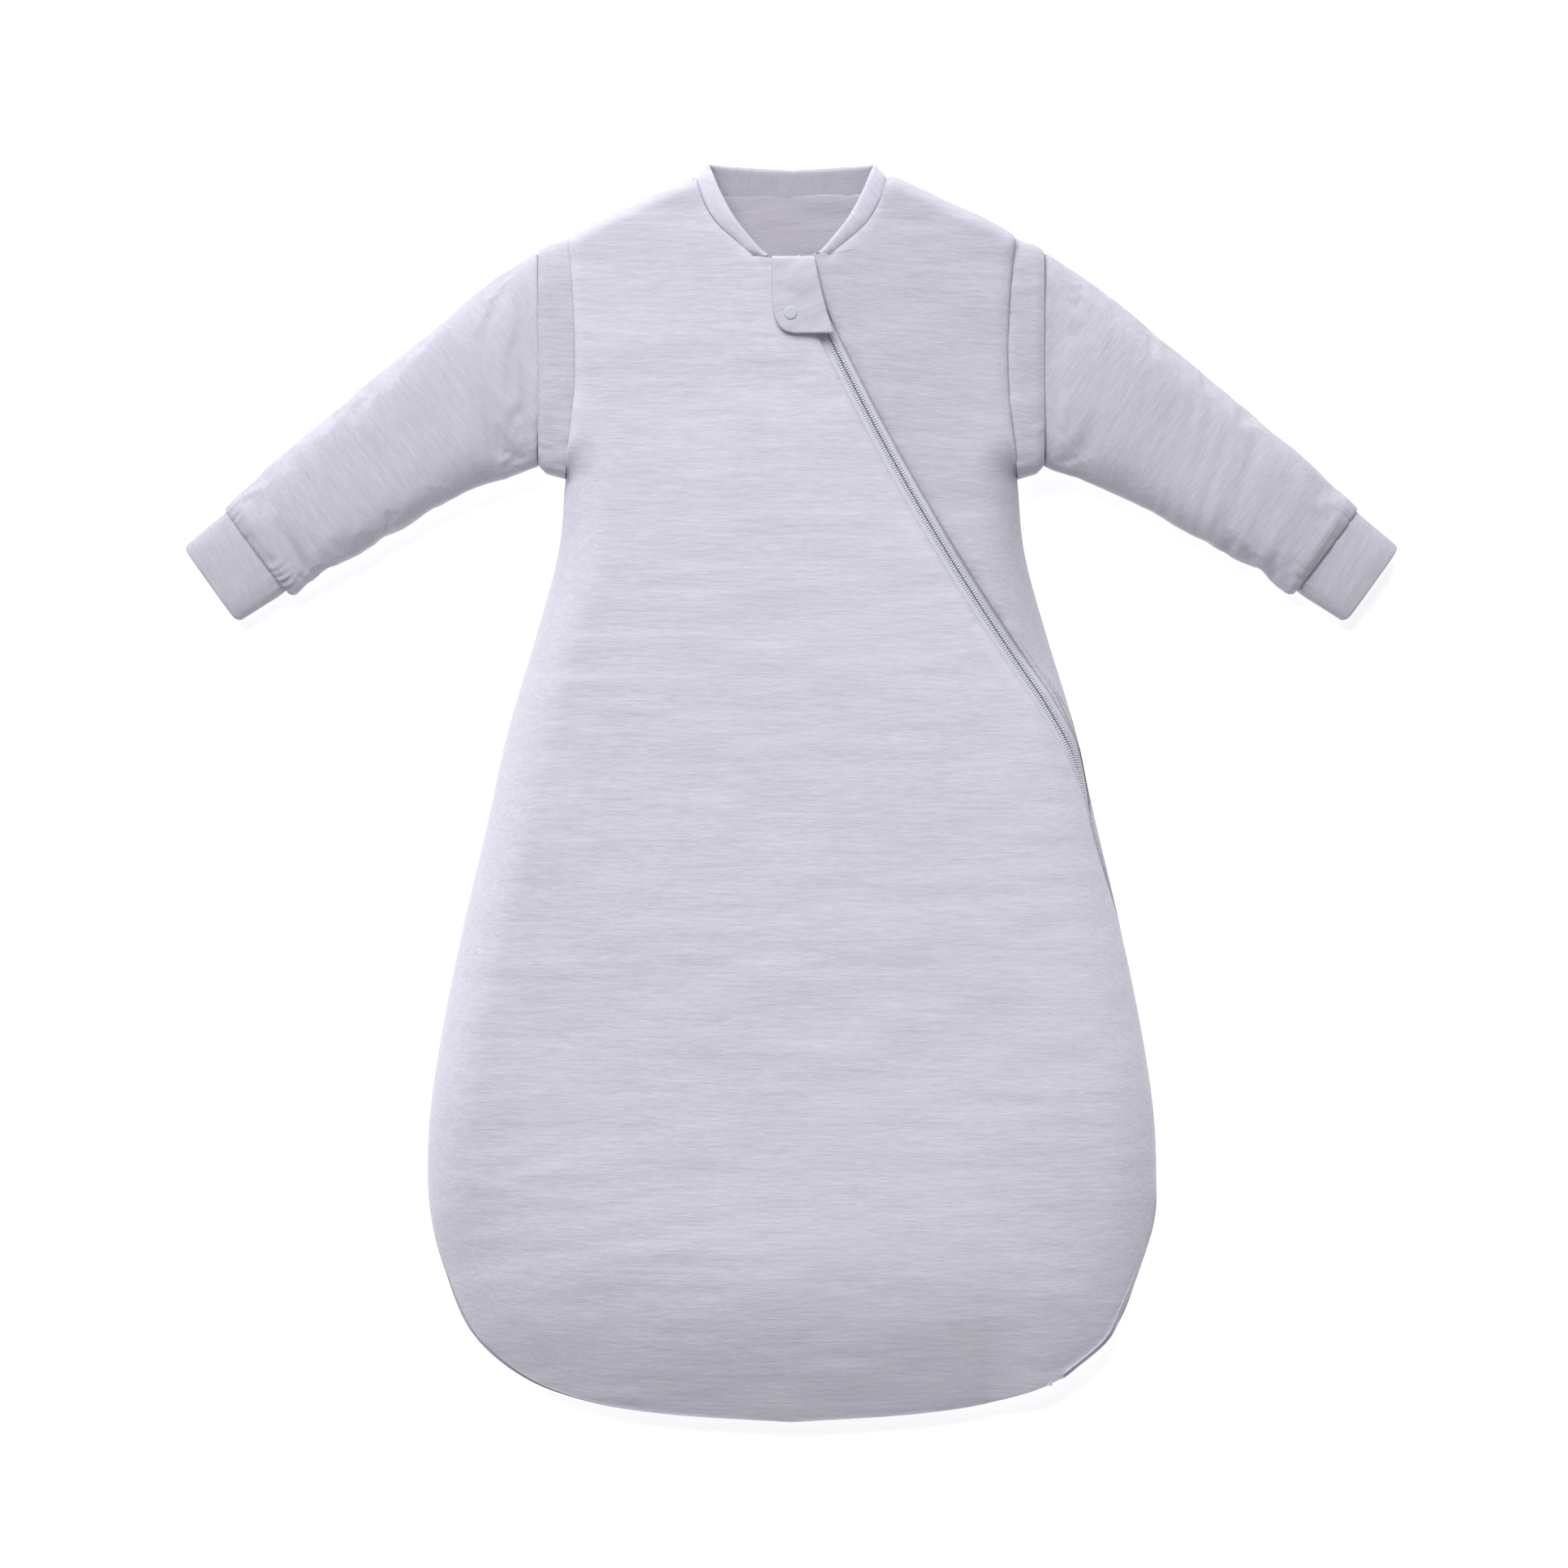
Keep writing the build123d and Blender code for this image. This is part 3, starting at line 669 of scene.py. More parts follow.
print("front panel")
frontFlat, frontRim = frontGrid()
frontOuter = frontSurface(frontFlat)
frontPanel, frontInner = softPad("frontPanel", frontFlat, frontOuter, bag["padDepth"] * mm, 0.014,
                                 bodyJersey, frontRim, blown=True)
frontLining, _ = softPad("frontLining", narrowed(frontFlat, 3.0),
                         frontInner[..., 2].ravel() - 0.0003, 1.0 * mm, 0.003, liningJersey, frontRim)


def sidePanelGrid():
    edge = chainEdge(zipRun["panelReach"], sign=-1)[::-1]
    edge = edge[edge[:, 1] > -0.040]
    ys = np.arange(-0.036, 0.289, bag["rowStep"] * mm)
    outer = join(side[side[:, 1] > -0.06], armhole)
    left, right = atHeights(edge, ys), atHeights(outer, ys)
    left[:, 0] = np.minimum(left[:, 0], right[:, 0] - 0.0008)
    fan = 44
    neck = [[0.021, 0.2982]]
    leftTop = evenly(np.vstack([left[-1:], edge[edge[:, 1] > ys[-1], :2], neck, collarSeam[1:]]), count=fan)
    rightTop = evenly(join(right[-1:], armhole[armhole[:, 1] > 0.290], shoulder), count=fan)
    left, right = np.vstack([left, leftTop[1:]]), np.vstack([right, rightTop[1:]])
    return rungs(left, right, 64), np.vstack([left, right[::-1]])


def besideChain(flat, heights):
    # below the turn the panel is a narrow strip from the side seam up to the chain's edge
    edge = chainEdge(zipRun["panelReach"], sign=-1)
    order = np.argsort(edge[:, 1])
    x, y = flat[..., 0], flat[..., 1]
    chainHigh = np.interp(y, edge[order, 1], edge[order, 2]) + 0.9 * mm
    wide = np.maximum(np.abs(flat[:, -1:, 0] - flat[:, :1, 0]), 1e-4)
    seam = (bag["seamHeight"] + 3.2) * mm
    strip = seam + np.maximum(chainHigh - seam, 0) * rounded(np.abs(flat[:, -1:, 0] - x), wide)
    low = smoothstep(-y, -0.098, -0.058)
    return (heights.reshape(x.shape) * (1 - low) + strip * low).ravel()


print("side panel")
sideFlat, sideRim = sidePanelGrid()
sideOuter = besideChain(sideFlat, frontSurface(sideFlat, zipRise=3.2))
sidePanel, sideInner = softPad("sidePanel", sideFlat, sideOuter, bag["padDepth"] * mm, 0.012,
                               sideJerseyShaded, sideRim, blown=True)
sideLining, _ = softPad("sideLining", narrowed(sideFlat, 3.0),
                        sideInner[..., 2].ravel() - 0.0003, 1.0 * mm, 0.003, liningJersey, sideRim)


# The back

def backGrid():
    outer = join(side, armhole, shoulder[shoulder[:, 1] < 0.336])
    left = evenly(flip(outer), step=4.5 * mm)
    return rungs(left, flip(left), 90)


def bareBeside(p):
    # where the back's rim shows beside the chain
    bare = np.exp(-((p[:, 1] + 0.279) / 0.017) ** 2) + 0.9 * np.exp(-((p[:, 1] + 0.026) / 0.030) ** 2)
    return bare * (p[:, 0] > 0)


def backUnder(p):
    zipSide = smoothstep(p[:, 0], 0.140, 0.154) * smoothstep(-p[:, 1], -0.030, 0.020)
    bare = bareBeside(p)
    seam = (bag["seamHeight"] - 0.4 + 3.4 * zipSide + 3.0 * bare) * mm
    curl = 1 - rounded(distanceTo(p, fullSide), 0.020)
    top = 1 - rounded(distanceTo(p, shoulder), 0.013)
    topLeft = 1 - rounded(distanceTo(p, flip(shoulder)), 0.013)
    armRight, armLeft = distanceTo(p, armhole), distanceTo(p, flip(armhole))
    arm = 1 - rounded(np.minimum(armRight, armLeft), 0.010)
    rise = np.maximum.reduce([seam * curl, 0.0285 * top, 0.0285 * topLeft, 0.0028 * arm])
    dimple = (wander(p[:, 0], p[:, 1], (0.06, 0.05), 41) + 1) * 0.0004
    return rise + dimple + 0.0001


def backTop(p, under):
    rise = np.maximum(under + 0.0006, (11.3 + wander(p[:, 0], p[:, 1], (0.07, 0.05), 43) * 0.5) * mm)
    ledge = smoothstep(-distanceTo(p, fullSide), -0.0052, -0.0030) * np.minimum(bareBeside(p), 1)
    return rise + np.maximum(0.0196 + 0.0012 * ledge - rise, 0) * ledge


print("back panel")
backFlat = backGrid()
backPoints = backFlat.reshape(-1, 2)
backLow = backUnder(backPoints)
backHigh = backTop(backPoints, backLow)
backPanel = recalc(slab("backPanel", raised(backFlat, backHigh), raised(backFlat, backLow), bodyJersey))
liningGrid = backFlat * np.array([0.985, 1.0])
liningLift = wander(backPoints[:, 0], backPoints[:, 1], (0.030, 0.0080), 47) * 0.00045
backLining = recalc(slab("backLining", raised(liningGrid, backHigh + 0.0010 + liningLift),
                         raised(liningGrid, backHigh + 0.0002), liningJersey))


# The neck

collar = {
    "seam": [(-14.8, 297.4, 38.2), (-22.5, 299.4, 38.4), (-30.5, 306, 38.2), (-41, 315.5, 37.8),
             (-48.4, 327.4, 35.8), (-52.4, 336.5, 31.5), (-53.2, 342, 25), (-51.4, 339.5, 17.6),
             (-45, 335, 12.6), (-28, 331.6, 10.9), (0, 330.2, 10.6)],
    "edge": [(-12.6, 298.4, 39.6), (-15.5, 300.2, 39.8), (-22.6, 308, 40.0), (-31.7, 319.7, 39.8),
             (-39.3, 334, 37.8), (-43.4, 344, 34.6), (-45.6, 349.6, 27), (-44.4, 350.6, 20.5),
             (-37, 350.2, 17.4), (-20, 349.2, 16.2), (0, 348.2, 15.9)],
    "thick": 2.4,
}


def thicken(name, grid, thick, material, bulge=0.0, sewn=6):
    # grid: stations x across x 3; the first long edge thins towards its seam, the other is rounded
    along, across = np.gradient(grid, axis=0), np.gradient(grid, axis=1)
    normal = np.cross(along, across)
    normal /= np.linalg.norm(normal, axis=2)[..., None] + 1e-12
    s = np.linspace(0, 1, grid.shape[1])
    fade = (np.sqrt(1 - (1 - s) ** sewn) * np.sqrt(1 - s ** 12))[None, :, None]
    half = normal * thick * 0.5 * mm * fade
    lift = normal * bulge * mm * (1 - (2 * s - 1) ** 2)[None, :, None]
    return recalc(slab(name, grid + half + lift, grid - half + lift, material))


print("collar")
seamLine, edgeLine = curveThrough(collar["seam"], count=90), curveThrough(collar["edge"], count=90)
seamLine = join(seamLine, flip(seamLine)[::-1])
edgeLine = join(edgeLine, flip(edgeLine)[::-1])
across = np.linspace(0, 1, 17)[None, :, None]
collarGrid = seamLine[:, None, :] * (1 - across) + edgeLine[:, None, :] * across
ripple = wander(np.arange(len(seamLine)) * 0.001, np.zeros(len(seamLine)), (0.004, 1), 53)
collarGrid[..., 2] += (ripple[:, None] * 0.00035 * (1 - across[..., 0]))
collarBand = thicken("collarBand", collarGrid, collar["thick"], [collarJersey, collarInsideShaded],
                     bulge=-0.4, sewn=3)
# faces of the back collar seen from inside take the darker rib finish: painted shadow of the collar's inside
for face in collarBand.data.polygons:
    if face.center.y > 0.329 and face.center.z < 0.033 and abs(face.center.x) < 0.0475:
        face.material_index = 1


# Armhole bands

band = {
    "edge": 140.4,
    "low": [(0, 175.6), (0.75, 178.6), (1, 182.6)],
    "high": [(0, 309.4), (0.7, 305.6), (1, 302.6)],
    "under": [(0, 2.6), (0.2, 0.8), (0.9, 0.9), (1, 2.6)],
    "over": [(0, 37.0), (0.15, 37.6), (0.8, 35.6), (1, 33.6)],
    "fold": 3.0,
    "around": 150,
}


def bandLoops(seed):
    stops = [(u, 0.0) for u in (0, 0.04, 0.1, 0.2, 0.32, 0.45, 0.58, 0.7, 0.8, 0.88, 0.94, 0.98)]
    stops += [(1.0, 0.5), (1.005, 1.5), (0.99, 2.4), (0.95, 2.9)]
    stops += [(u, band["fold"]) for u in (0.85, 0.7, 0.5, 0.3)]
    phi = np.linspace(0, 2 * math.pi, band["around"], endpoint=False)
    lobes = 2 / 4.2
    cy = np.sign(np.cos(phi)) * np.abs(np.cos(phi)) ** lobes
    cz = np.sign(np.sin(phi)) * np.abs(np.sin(phi)) ** lobes
    loops = []
    for u, inset in stops:
        v = min(u, 1)
        low, high, under, over = (np.interp(v, *zip(*band[key])) for key in ("low", "high", "under", "over"))
        halfY, halfZ = (high - low) / 2 - inset, (over - under) / 2 - inset
        y = (high + low) / 2 + cy * halfY
        z = (over + under) / 2 + cz * halfZ
        seam = np.interp(y * mm, armhole[:, 1], armhole[:, 0]) / mm - 0.4
        x = seam + (band["edge"] - seam) * u
        crease = wander(x * mm, (y + z) * mm, (0.016, 0.0042), seed) * 0.35
        crease += wander(x * mm, (y + z) * mm, (0.030, 0.0130), seed + 1) * 0.5
        pucker = wander(y * mm, z * mm, (0.0026, 0.004), seed + 2) * 0.35 * math.exp(-v / 0.10)
        push = (crease + pucker) * (1 if inset < 0.4 else 0.2)
        loops.append(np.column_stack([x, y + cy * push * 0.6, z + cz * push]) * mm)
    return np.array(loops)


# Seam stitches: short threads laid over a line, following the cloth's height

def stitchesAlong(name, line, length, gap, thick, material, slant=0.0):
    # line: points in space, already on the surface
    travelled = walk(line)
    spots = spotsAt(line, travelled, np.arange(gap * mm, travelled[-1] - gap * mm, gap * mm))
    ahead = np.gradient(spots, axis=0)
    ahead /= np.linalg.norm(ahead, axis=1)[:, None]
    aside = np.cross(ahead, np.array([0, 0, 1.0]))
    turn = math.radians(slant)
    way = ahead * math.cos(turn) + aside * math.sin(turn)
    sideWay = np.cross(way, np.array([0, 0, 1.0]))
    up = np.cross(sideWay, way)
    shape, quads = capsule(length, thick)
    points = (spots[:, None] + way[:, None] * shape[None, :, :1] * mm
              + sideWay[:, None] * shape[None, :, 1:2] * mm + up[:, None] * shape[None, :, 2:] * mm)
    faces = [tuple(k * len(shape) + i for i in quad) for k in range(len(spots)) for quad in quads]
    piece = newPiece(name, points.reshape(-1, 3), faces, material)
    weld(piece, 1e-6)
    return recalc(piece)


# Sleeves and cuffs

sleeve = {
    "top": [(129, 297.4, 0), (139.2, 297.6, 0), (140.4, 298.4, 0), (141, 300.9, 0), (143.2, 300.9, 0),
            (152, 295.2, 0), (183, 275.2, 0), (237, 232.2, 0), (283, 192.5, 0), (307, 168, 0),
            (315.6, 160.2, 0), (315.4, 157.6, 0)],
    "under": [(129, 187.4, 0), (139.2, 187.2, 0), (140.4, 186.2, 0), (141, 183.2, 0), (143.2, 182.4, 0),
              (152, 179.0, 0), (183, 165.8, 0), (228, 139.8, 0), (262, 122.6, 0), (275.5, 114.2, 0),
              (280.4, 112.6, 0), (282.8, 114.6, 0)],
    "half": [(0, 12.4), (0.048, 12.4), (0.058, 14.9), (0.12, 15.2), (0.5, 13.8), (0.85, 12.6),
             (0.96, 10.8), (1, 8.4)],
    "middle": [(0, 17.2), (0.048, 17.2), (0.058, 17.4), (0.12, 16.6), (0.5, 14.4), (0.85, 13.0), (0.96, 11.2),
               (1, 9.4)],
    "wall": 7.6, "stations": 132, "around": 168,
    "pleats": [(-0.40, 13), (-0.56, 7), (-0.72, 11), (-0.84, 7), (-0.93, 9), (0.15, 5), (0.62, 6)],
}
cuff = {
    "top": [(313.4, 159.6, 0), (319, 155.4, 0), (328, 147.9, 0), (338.8, 139.0, 0)],
    "under": [(281.6, 114.8, 0), (287, 110.4, 0), (297, 104.0, 0), (308.4, 96.6, 0)],
    "half": [(0, 7.2), (0.12, 8.3), (0.8, 8.0), (1, 7.0)], "middle": 9.0, "wall": 2.4, "stations": 26,
}


def section(top, under, halfHeight, middle, around, power=2.8):
    # one flattened loop across a sleeve; returns points and the outward direction in the loop
    phi = np.linspace(0, 2 * math.pi, around, endpoint=False)
    c = np.sign(np.cos(phi)) * np.abs(np.cos(phi)) ** (2 / power)
    s = np.sign(np.sin(phi)) * np.abs(np.sin(phi)) ** (2 / power)
    centre, half = (top + under) / 2, (top - under) / 2
    points = np.zeros((around, 3))
    points[:, :2] = centre[:2] + c[:, None] * half[:2]
    points[:, 2] = middle + s * halfHeight
    out = np.zeros((around, 3))
    out[:, :2] = np.cos(phi)[:, None] * half[:2] / np.linalg.norm(half[:2])
    out[:, 2] = np.sin(phi)
    return points, out, phi


def sleeveLoops(inset, seed, rough):
    count = sleeve["stations"]
    tops, unders = curveThrough(sleeve["top"], count=count), curveThrough(sleeve["under"], count=count)
    loops = []
    for k in range(count):
        t = k / (count - 1)
        half = np.interp(t, *zip(*sleeve["half"])) * mm
        middle = np.interp(t, *zip(*sleeve["middle"])) * mm
        points, out, phi = section(tops[k], unders[k], half, middle, sleeve["around"])
        s = t * 0.225
        around = phi * 0.04
        push = wander(around, np.full_like(phi, s), (0.030, 0.0062), seed) * 0.42
        push += wander(around, np.full_like(phi, s), (0.050, 0.020), seed + 1) * 0.75
        toCuff, toBand = (1 - t) * 225, max(t - 0.075, 0) * 225
        gather = wander(phi * 0.030, np.full_like(phi, s * 0.3), (0.0024, 0.012), seed + 2)
        underneath = 0.18 + 0.95 * np.exp(-((np.cos(phi) + 0.72) / 0.28) ** 2)
        push += gather * (1.5 * underneath * math.exp(-((toCuff - 4) / 7) ** 2)
                          + 0.30 * math.exp(-toBand / 7))
        push += 0.9 * math.exp(-((toCuff - 9) / 7) ** 2)
        for spot, reach in sleeve["pleats"]:
            nick = np.exp(-((np.cos(phi) - spot) / 0.035) ** 2) * (np.sin(phi) > 0)
            push -= 1.1 * nick * math.exp(-(toCuff / reach) ** 2)
        push *= rough * smoothstep(t, 0.0, 0.10)
        moved = points + out * (push * mm - inset * mm)[:, None]
        moved[:, 2] = np.maximum(moved[:, 2], (0.4 + inset) * mm)
        loops.append(moved)
    return np.array(loops)


def cuffLoops(inset, seed, corner=2.0):
    count = cuff["stations"]
    tops, unders = curveThrough(cuff["top"], count=count), curveThrough(cuff["under"], count=count)
    heading = ((tops[-1] + unders[-1]) - (tops[0] + unders[0]))[:2]
    heading /= np.linalg.norm(heading)
    loops = []
    for k in range(count):
        t = k / (count - 1)
        half = np.interp(t, *zip(*cuff["half"])) * mm
        points, out, phi = section(tops[k], unders[k], half, cuff["middle"] * mm, sleeve["around"])
        ripple = wander(phi * 0.030, np.full_like(phi, t * 0.01), (0.0030, 0.006), seed)
        ripple = ripple * 0.5 * math.exp(-t / 0.15)
        moved = points + out * (ripple * mm - inset * mm)[:, None]
        moved[:, :2] -= heading * (corner * mm * t ** 3 * np.abs(np.cos(phi)) ** 16)[:, None]
        moved[:, 2] = np.maximum(moved[:, 2], (0.5 + inset) * mm)
        loops.append(moved)
    return np.array(loops)


def closedTube(name, outer, inner, material, fold=0.0):
    # outer wall, a rounded end, inner wall back to the start
    steps = []
    if fold:
        heading = outer[-1].mean(0) - outer[-4].mean(0)
        heading /= np.linalg.norm(heading)
        for turn in (30, 65, 90, 115, 150):
            c, s = math.cos(math.radians(turn)), math.sin(math.radians(turn))
            steps.append(outer[-1] * (1 + c) / 2 + inner[-1] * (1 - c) / 2 + heading * fold * mm * s)
    loops = np.concatenate([outer, np.array(steps).reshape(-1, outer.shape[1], 3), inner[::-1]])
    return recalc(tube(name, loops, material))


def mirrorLoops(loops, sign):
    return loops * np.array([sign, 1, 1])


print("bands, sleeves and cuffs")
for label, sign, seed in (("Left", -1, 61), ("Right", 1, 71)):
    seam = evenly(armhole[(armhole[:, 1] > 0.183) & (armhole[:, 1] < 0.256)], step=0.5 * mm)
    height = np.interp(seam[:, 1], [0.183, 0.190, 0.256], [0.0330, 0.0368, 0.0374])
    seam = np.column_stack([sign * (seam[:, 0] - 0.0004), seam[:, 1], height])
    armStitches = stitchesAlong("armStitches" + label, seam, 0.9, 1.9, 0.45, seamThread, 60)
    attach(armStitches, "bag")
    body = "sleeve_" + label.lower()
    # each sleeve wears its own darker copy of the knit, painted shade, the right one darker than the left
    jerseyHere = leftSleeveJerseyShaded if sign < 0 else rightSleeveJerseyShaded
    armBand = recalc(tube("armBand" + label, mirrorLoops(bandLoops(seed), sign), bandJerseyShaded))
    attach(armBand, "bag")
    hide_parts("armhole_band_" + label.lower())
    outer = blowUpTube(sleeveLoops(0, seed + 3, 1.0), heldEnd=16)
    outer[..., 2] = np.maximum(outer[..., 2], 0.0003)
    inner = sleeveLoops(sleeve["wall"], seed + 3, 0.0)
    pad = closedTube("sleeve" + label, mirrorLoops(outer, sign), mirrorLoops(inner, sign), jerseyHere)
    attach(pad, body)
    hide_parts(*("sleeve_%s_%s" % (layer, label.lower()) for layer in ("shell", "wadding")))
    lining = closedTube("sleeveLining" + label,
                        mirrorLoops(sleeveLoops(sleeve["wall"] + 0.2, seed + 3, 0.0), sign),
                        mirrorLoops(sleeveLoops(sleeve["wall"] + 1.0, seed + 3, 0.0), sign), liningJersey)
    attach(lining, body)
    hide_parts("sleeve_lining_" + label.lower())
    wristBand = closedTube("cuff" + label, mirrorLoops(cuffLoops(0, seed + 5), sign),
                           mirrorLoops(cuffLoops(cuff["wall"], seed + 5), sign),
                           cuffJerseyShaded if sign < 0 else cuffJerseyRightShaded, fold=1.2)
    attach(wristBand, body)
    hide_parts("cuff_" + label.lower())


# The zip

def chainStrip(name, near, far, thick, sink, sign, material):
    # a flat strip beside the chain, following its roll
    room = distanceTo(chain[:, :2], fullSide) / mm - 0.6
    reach = np.interp(chain[:, 3], [0, 90], [far, min(far, 5.6)])
    if sign < 0:
        reach = np.minimum(reach, room / np.maximum(np.cos(np.radians(chain[:, 3])), 0.12))
    reach = np.minimum(reach, 4.2 + np.maximum(0.2935 - chain[:, 1], 0) * 900)
    inner, outer = chainEdge(near, -sink, sign=sign), chainEdge(reach, -sink, sign=sign)
    s = np.linspace(0, 1, 7)[None, :, None]
    grid = inner[:, None] * (1 - s) + outer[:, None] * s
    return thicken(name, grid, thick, material)


def beadsAlong(name, stations, beads, pitch, phase, sign, material):
    # beads: (length, thickness, across, out, slant, material slot), repeated along the chain
    travelled = walk(stations[:, :3])
    at = np.arange(zipRun["endGap"] + phase, travelled[-1] / mm - zipRun["endGap"], pitch) * mm
    line = spotsAt(stations, travelled, at)
    ahead = np.gradient(line[:, :3], axis=0)
    ahead /= np.linalg.norm(ahead, axis=1)[:, None]
    flatWay = np.stack([ahead[:, 1], -ahead[:, 0], np.zeros(len(ahead))], axis=1)
    flatWay /= np.linalg.norm(flatWay, axis=1)[:, None]
    roll = np.radians(line[:, 3])[:, None]
    up = np.array([[0, 0, 1.0]])
    acrossWay = flatWay * np.cos(roll) + up * np.sin(roll)
    outWay = up * np.cos(roll) - flatWay * np.sin(roll)
    points, faces, kinds, total = [], [], [], 0
    for length, thick, across, out, slant, kind in beads:
        shape, quads = capsule(length, thick)
        turn = math.radians(slant)
        u = (shape[:, 0] * math.cos(turn))[None, :, None]
        v = (shape[:, 0] * math.sin(turn) + shape[:, 1])[None, :, None]
        w = shape[:, 2][None, :, None]
        block = (line[:, None, :3] + acrossWay[:, None] * (u + across) * mm * sign
                 + ahead[:, None] * v * mm + outWay[:, None] * (w + out) * mm)
        points.append(block.reshape(-1, 3))
        size = len(shape)
        for k in range(len(line)):
            faces += [tuple(total + k * size + i for i in quad) for quad in quads]
            kinds += [kind] * len(quads)
        total += len(line) * size
    piece = newPiece(name, np.vstack(points), faces, material)
    piece.data.polygons.foreach_set("material_index", kinds)
    weld(piece, 1e-6)
    return recalc(piece)


coil = {
    # one turn of the coil and the two stitches over its leg
    "beads": [(2.5, 1.22, 1.22, -0.22, 8, 0), (1.25, 0.70, 0.92, 0.36, 32, 1),
              (1.15, 0.66, 2.02, 0.26, 32, 1)],
}

print("zip")
panelTape = chainStrip("panelTape", 0.08, zipRun["tapeReach"], 0.6, 0.4, 1, zipTape)
bodyTape = chainStrip("bodyTape", 0.08, zipRun["tapeReach"], 0.6, 0.4, -1, zipTape)
panelCoil = beadsAlong("panelCoil", chain, coil["beads"], zipRun["pitch"], 0.0, 1,
                       [coilNylon, stitchThread])
bodyCoil = beadsAlong("bodyCoil", chain, coil["beads"], zipRun["pitch"], zipRun["pitch"] / 2, -1,
                      [coilNylon, stitchThread])


# Guard tab and snap

guard = {
    "left": [(-11.0, 296.9), (-10.7, 285), (-10.3, 272), (-9.6, 265.5), (-7.6, 260), (-4.2, 256.2),
             (1.5, 254.5)],
    "right": [(12.9, 296.9), (15.0, 286), (17.2, 276), (19.9, 266), (22.2, 258.5), (23.6, 254.5)],
    "outer": (43.4, 1.4, 0.0), "facing": (42.4, 0.8, 0.5),
    "slider": (6.1, 284.6), "rise": 1.0, "droop": 0.75,
}


def guardLayer(name, height, thick, inset, material):
    left, right = curveThrough(guard["left"], count=60), curveThrough(guard["right"], count=60)
    left = left + np.array([inset * mm, inset * mm])
    right = right + np.array([-inset * mm, inset * mm])
    flat = rungs(left, right, 40)
    points = flat.reshape(-1, 2)
    rim = np.vstack([left, right[::-1], left[:1]])
    swell = rounded(distanceTo(points, rim), thick * 0.8 * mm)
    away = np.linalg.norm(points - np.array(guard["slider"]) * mm, axis=1)
    over = guard["rise"] * mm * np.exp(-(away / 0.009) ** 4)
    loose = np.exp(-distanceTo(points, np.vstack([left[::-1], right[:1]])) / 0.0035)
    slack = wander(points[:, 0], points[:, 1], (0.012, 0.006), 83) * 0.00018 + over
    slack -= guard["droop"] * mm * loose * (1 - np.exp(-(away / 0.009) ** 4))
    top = height * mm + slack + swell * thick / 2 * mm
    low = height * mm + slack - swell * thick / 2 * mm - 0.00002
    return recalc(slab(name, raised(flat, top), raised(flat, low), material))


def lathe(name, profile, centre, material, around=48):
    # profile: (radius, height) pairs in millimetres, from the middle out and back
    phi = np.linspace(0, 2 * math.pi, around, endpoint=False)
    loops = [np.column_stack([centre[0] + max(r, 0.01) * np.cos(phi), centre[1] + max(r, 0.01) * np.sin(phi),
                              np.full(around, z)]) * mm for r, z in profile]
    piece = tube(name, np.array(loops), material, closedEnds=False)
    weld(piece)
    return recalc(piece)


print("guard and snap")
guardOuter = guardLayer("guardOuter", *guard["outer"], guardJersey)
guardFacing = guardLayer("guardFacing", *guard["facing"], guardJersey)
snapSpot = (-0.5, 265.9)
snapCap = lathe("snapCap", [(0, 44.62), (1.2, 44.62), (2.4, 44.62), (3.0, 44.60), (3.4, 44.50), (3.7, 44.30),
                            (3.75, 44.1), (3.5, 43.95), (2.8, 43.8), (0, 43.8)], snapSpot, snapPlastic)


# Most pieces ride on their body; the front panel, its lining, and the panel's tape and coil are only baked in
# place

print("riding")
foldAcross(frontPanel)
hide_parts("front_main_shell", "front_main_wadding", "front_flap_shell", "front_flap_wadding")
foldAcross(frontLining)
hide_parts("front_main_lining", "front_flap_lining")
for piece, nodes, slot in (
        (sidePanel, ("front_side_shell", "front_side_wadding", "guard_anchor"), "melange_jersey"),
        (sideLining, ("front_side_lining",), "lining_jersey"),
        (backPanel, ("back_outer_shell", "back_wadding", "side_seam_left", "side_seam_right",
                     "shoulder_seam_left", "shoulder_seam_right"), "melange_jersey"),
        (backLining, ("back_lining",), "lining_jersey"),
        (collarBand, ("collar_back", "collar_left", "collar_right"), "collar_rib"),
        (bodyTape, ("zip_tape_body",), "zip_tape_weave"),
        (bodyCoil, ("zip_coil_body",), "coil_nylon")):
    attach(piece, "bag")
    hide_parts(*nodes)
foldAcross(panelTape)
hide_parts("zip_tape_main", "zip_tape_flap")
foldAcross(panelCoil)
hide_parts("zip_coil_main", "zip_coil_flap")
for piece, node, slot in (
        (guardOuter, "guard_outer", "guard_jersey"),
        (guardFacing, "guard_facing", "guard_jersey"),
        (snapCap, "snap_cap", "snap_cap_plastic")):
    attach(piece, "zip_guard")
    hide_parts(node)

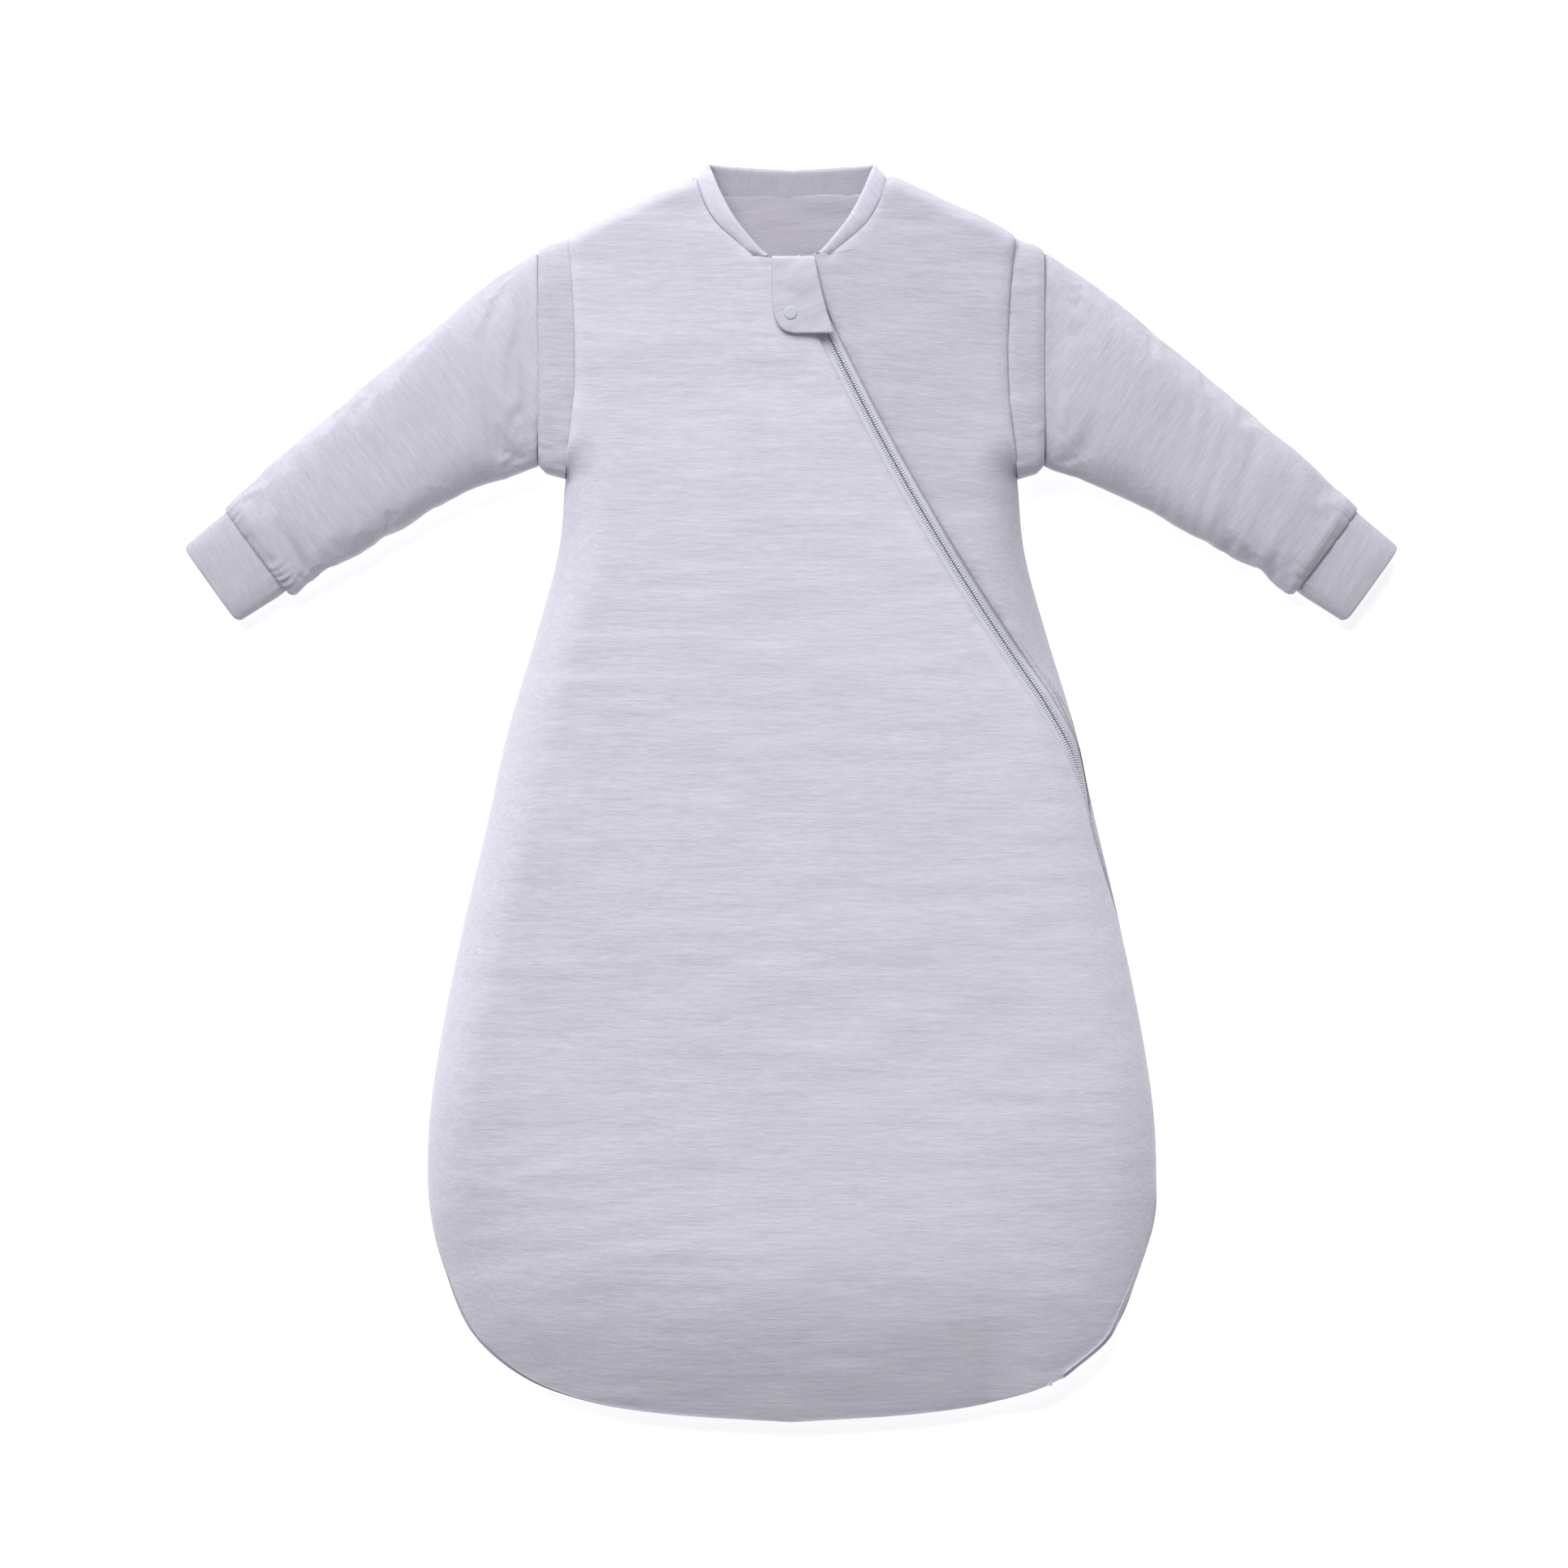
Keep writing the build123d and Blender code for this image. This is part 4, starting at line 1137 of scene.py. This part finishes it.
hardNodes = {
    "slider_body": sliderEnamel, "zip_pull_tab": sliderEnamel, "zip_top_stop_main": stopPlastic,
    "zip_top_stop_side": stopPlastic, "zip_bottom_stop": stopPlastic, "snap_stud": stopPlastic,
    "snap_stud_backing": stopPlastic, "snap_socket": stopPlastic,
}
for label in ("left", "right"):
    hardNodes["armhole_zip_coil_" + label] = coilNylon
    hardNodes["sleeve_zip_coil_" + label] = coilNylon
    hardNodes["armhole_zip_slider_" + label] = sliderEnamel
for node, material in hardNodes.items():
    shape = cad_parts[node]
    shape.data.materials.clear()
    shape.data.materials.append(material)


# Floor, light and camera

studio = {
    "floor": (0.90, 0.90, 0.905),
    "glow": 0.62,
    "sky": 0.30,
    "key": (-1.25, 4.20, 4.20, 392.0, 4.0),
    "view": 873.7,
    "look": (-4.1, 5.9),
    "lens": 110.0,
    "sensor": 36.0,
    "level": 17.0,
}


def buildFloor():
    material, strand = newMaterial("paleFloor")
    finishMaterial(strand, {"Base Color": studio["floor"] + (1,), "Roughness": 0.9, "Specular IOR Level": 0.1,
                            "Emission Color": (1, 1, 1, 1), "Emission Strength": studio["glow"]})
    wide = 6.0
    points = [(-wide, -wide, -0.0004), (wide, -wide, -0.0004), (wide, wide, -0.0004), (-wide, wide, -0.0004)]
    floor = newPiece("floor", points, [(0, 1, 2, 3)], material, smooth=False)


def buildLight():
    world = bpy.data.worlds.new("studioAir")
    world.use_nodes = True
    world.node_tree.nodes["Background"].inputs["Color"].default_value = (1, 1, 1, 1)
    world.node_tree.nodes["Background"].inputs["Strength"].default_value = studio["sky"]
    bpy.context.scene.world = world
    x, y, z, power, size = studio["key"]
    lamp = bpy.data.lights.new("softKey", "AREA")
    lamp.energy, lamp.size = power, size
    holder = bpy.data.objects.new("softKey", lamp)
    holder.location = (x, y, z)
    holder.rotation_euler = (Vector((0, 0, 0)) - Vector((x, y, z))).to_track_quat("-Z", "Y").to_euler()
    bpy.context.scene.collection.objects.link(holder)


def buildCamera():
    camera = bpy.data.cameras.new("overhead")
    camera.lens, camera.sensor_width = studio["lens"], studio["sensor"]
    camera.clip_end = 20
    distance = studio["view"] * mm * studio["lens"] / studio["sensor"]
    holder = bpy.data.objects.new("overhead", camera)
    holder.location = (studio["look"][0] * mm, studio["look"][1] * mm, distance + studio["level"] * mm)
    bpy.context.scene.collection.objects.link(holder)
    bpy.context.scene.camera = holder


print("studio")
buildFloor()
buildLight()
buildCamera()
bpy.context.scene.view_settings.view_transform = "Standard"

print("done")
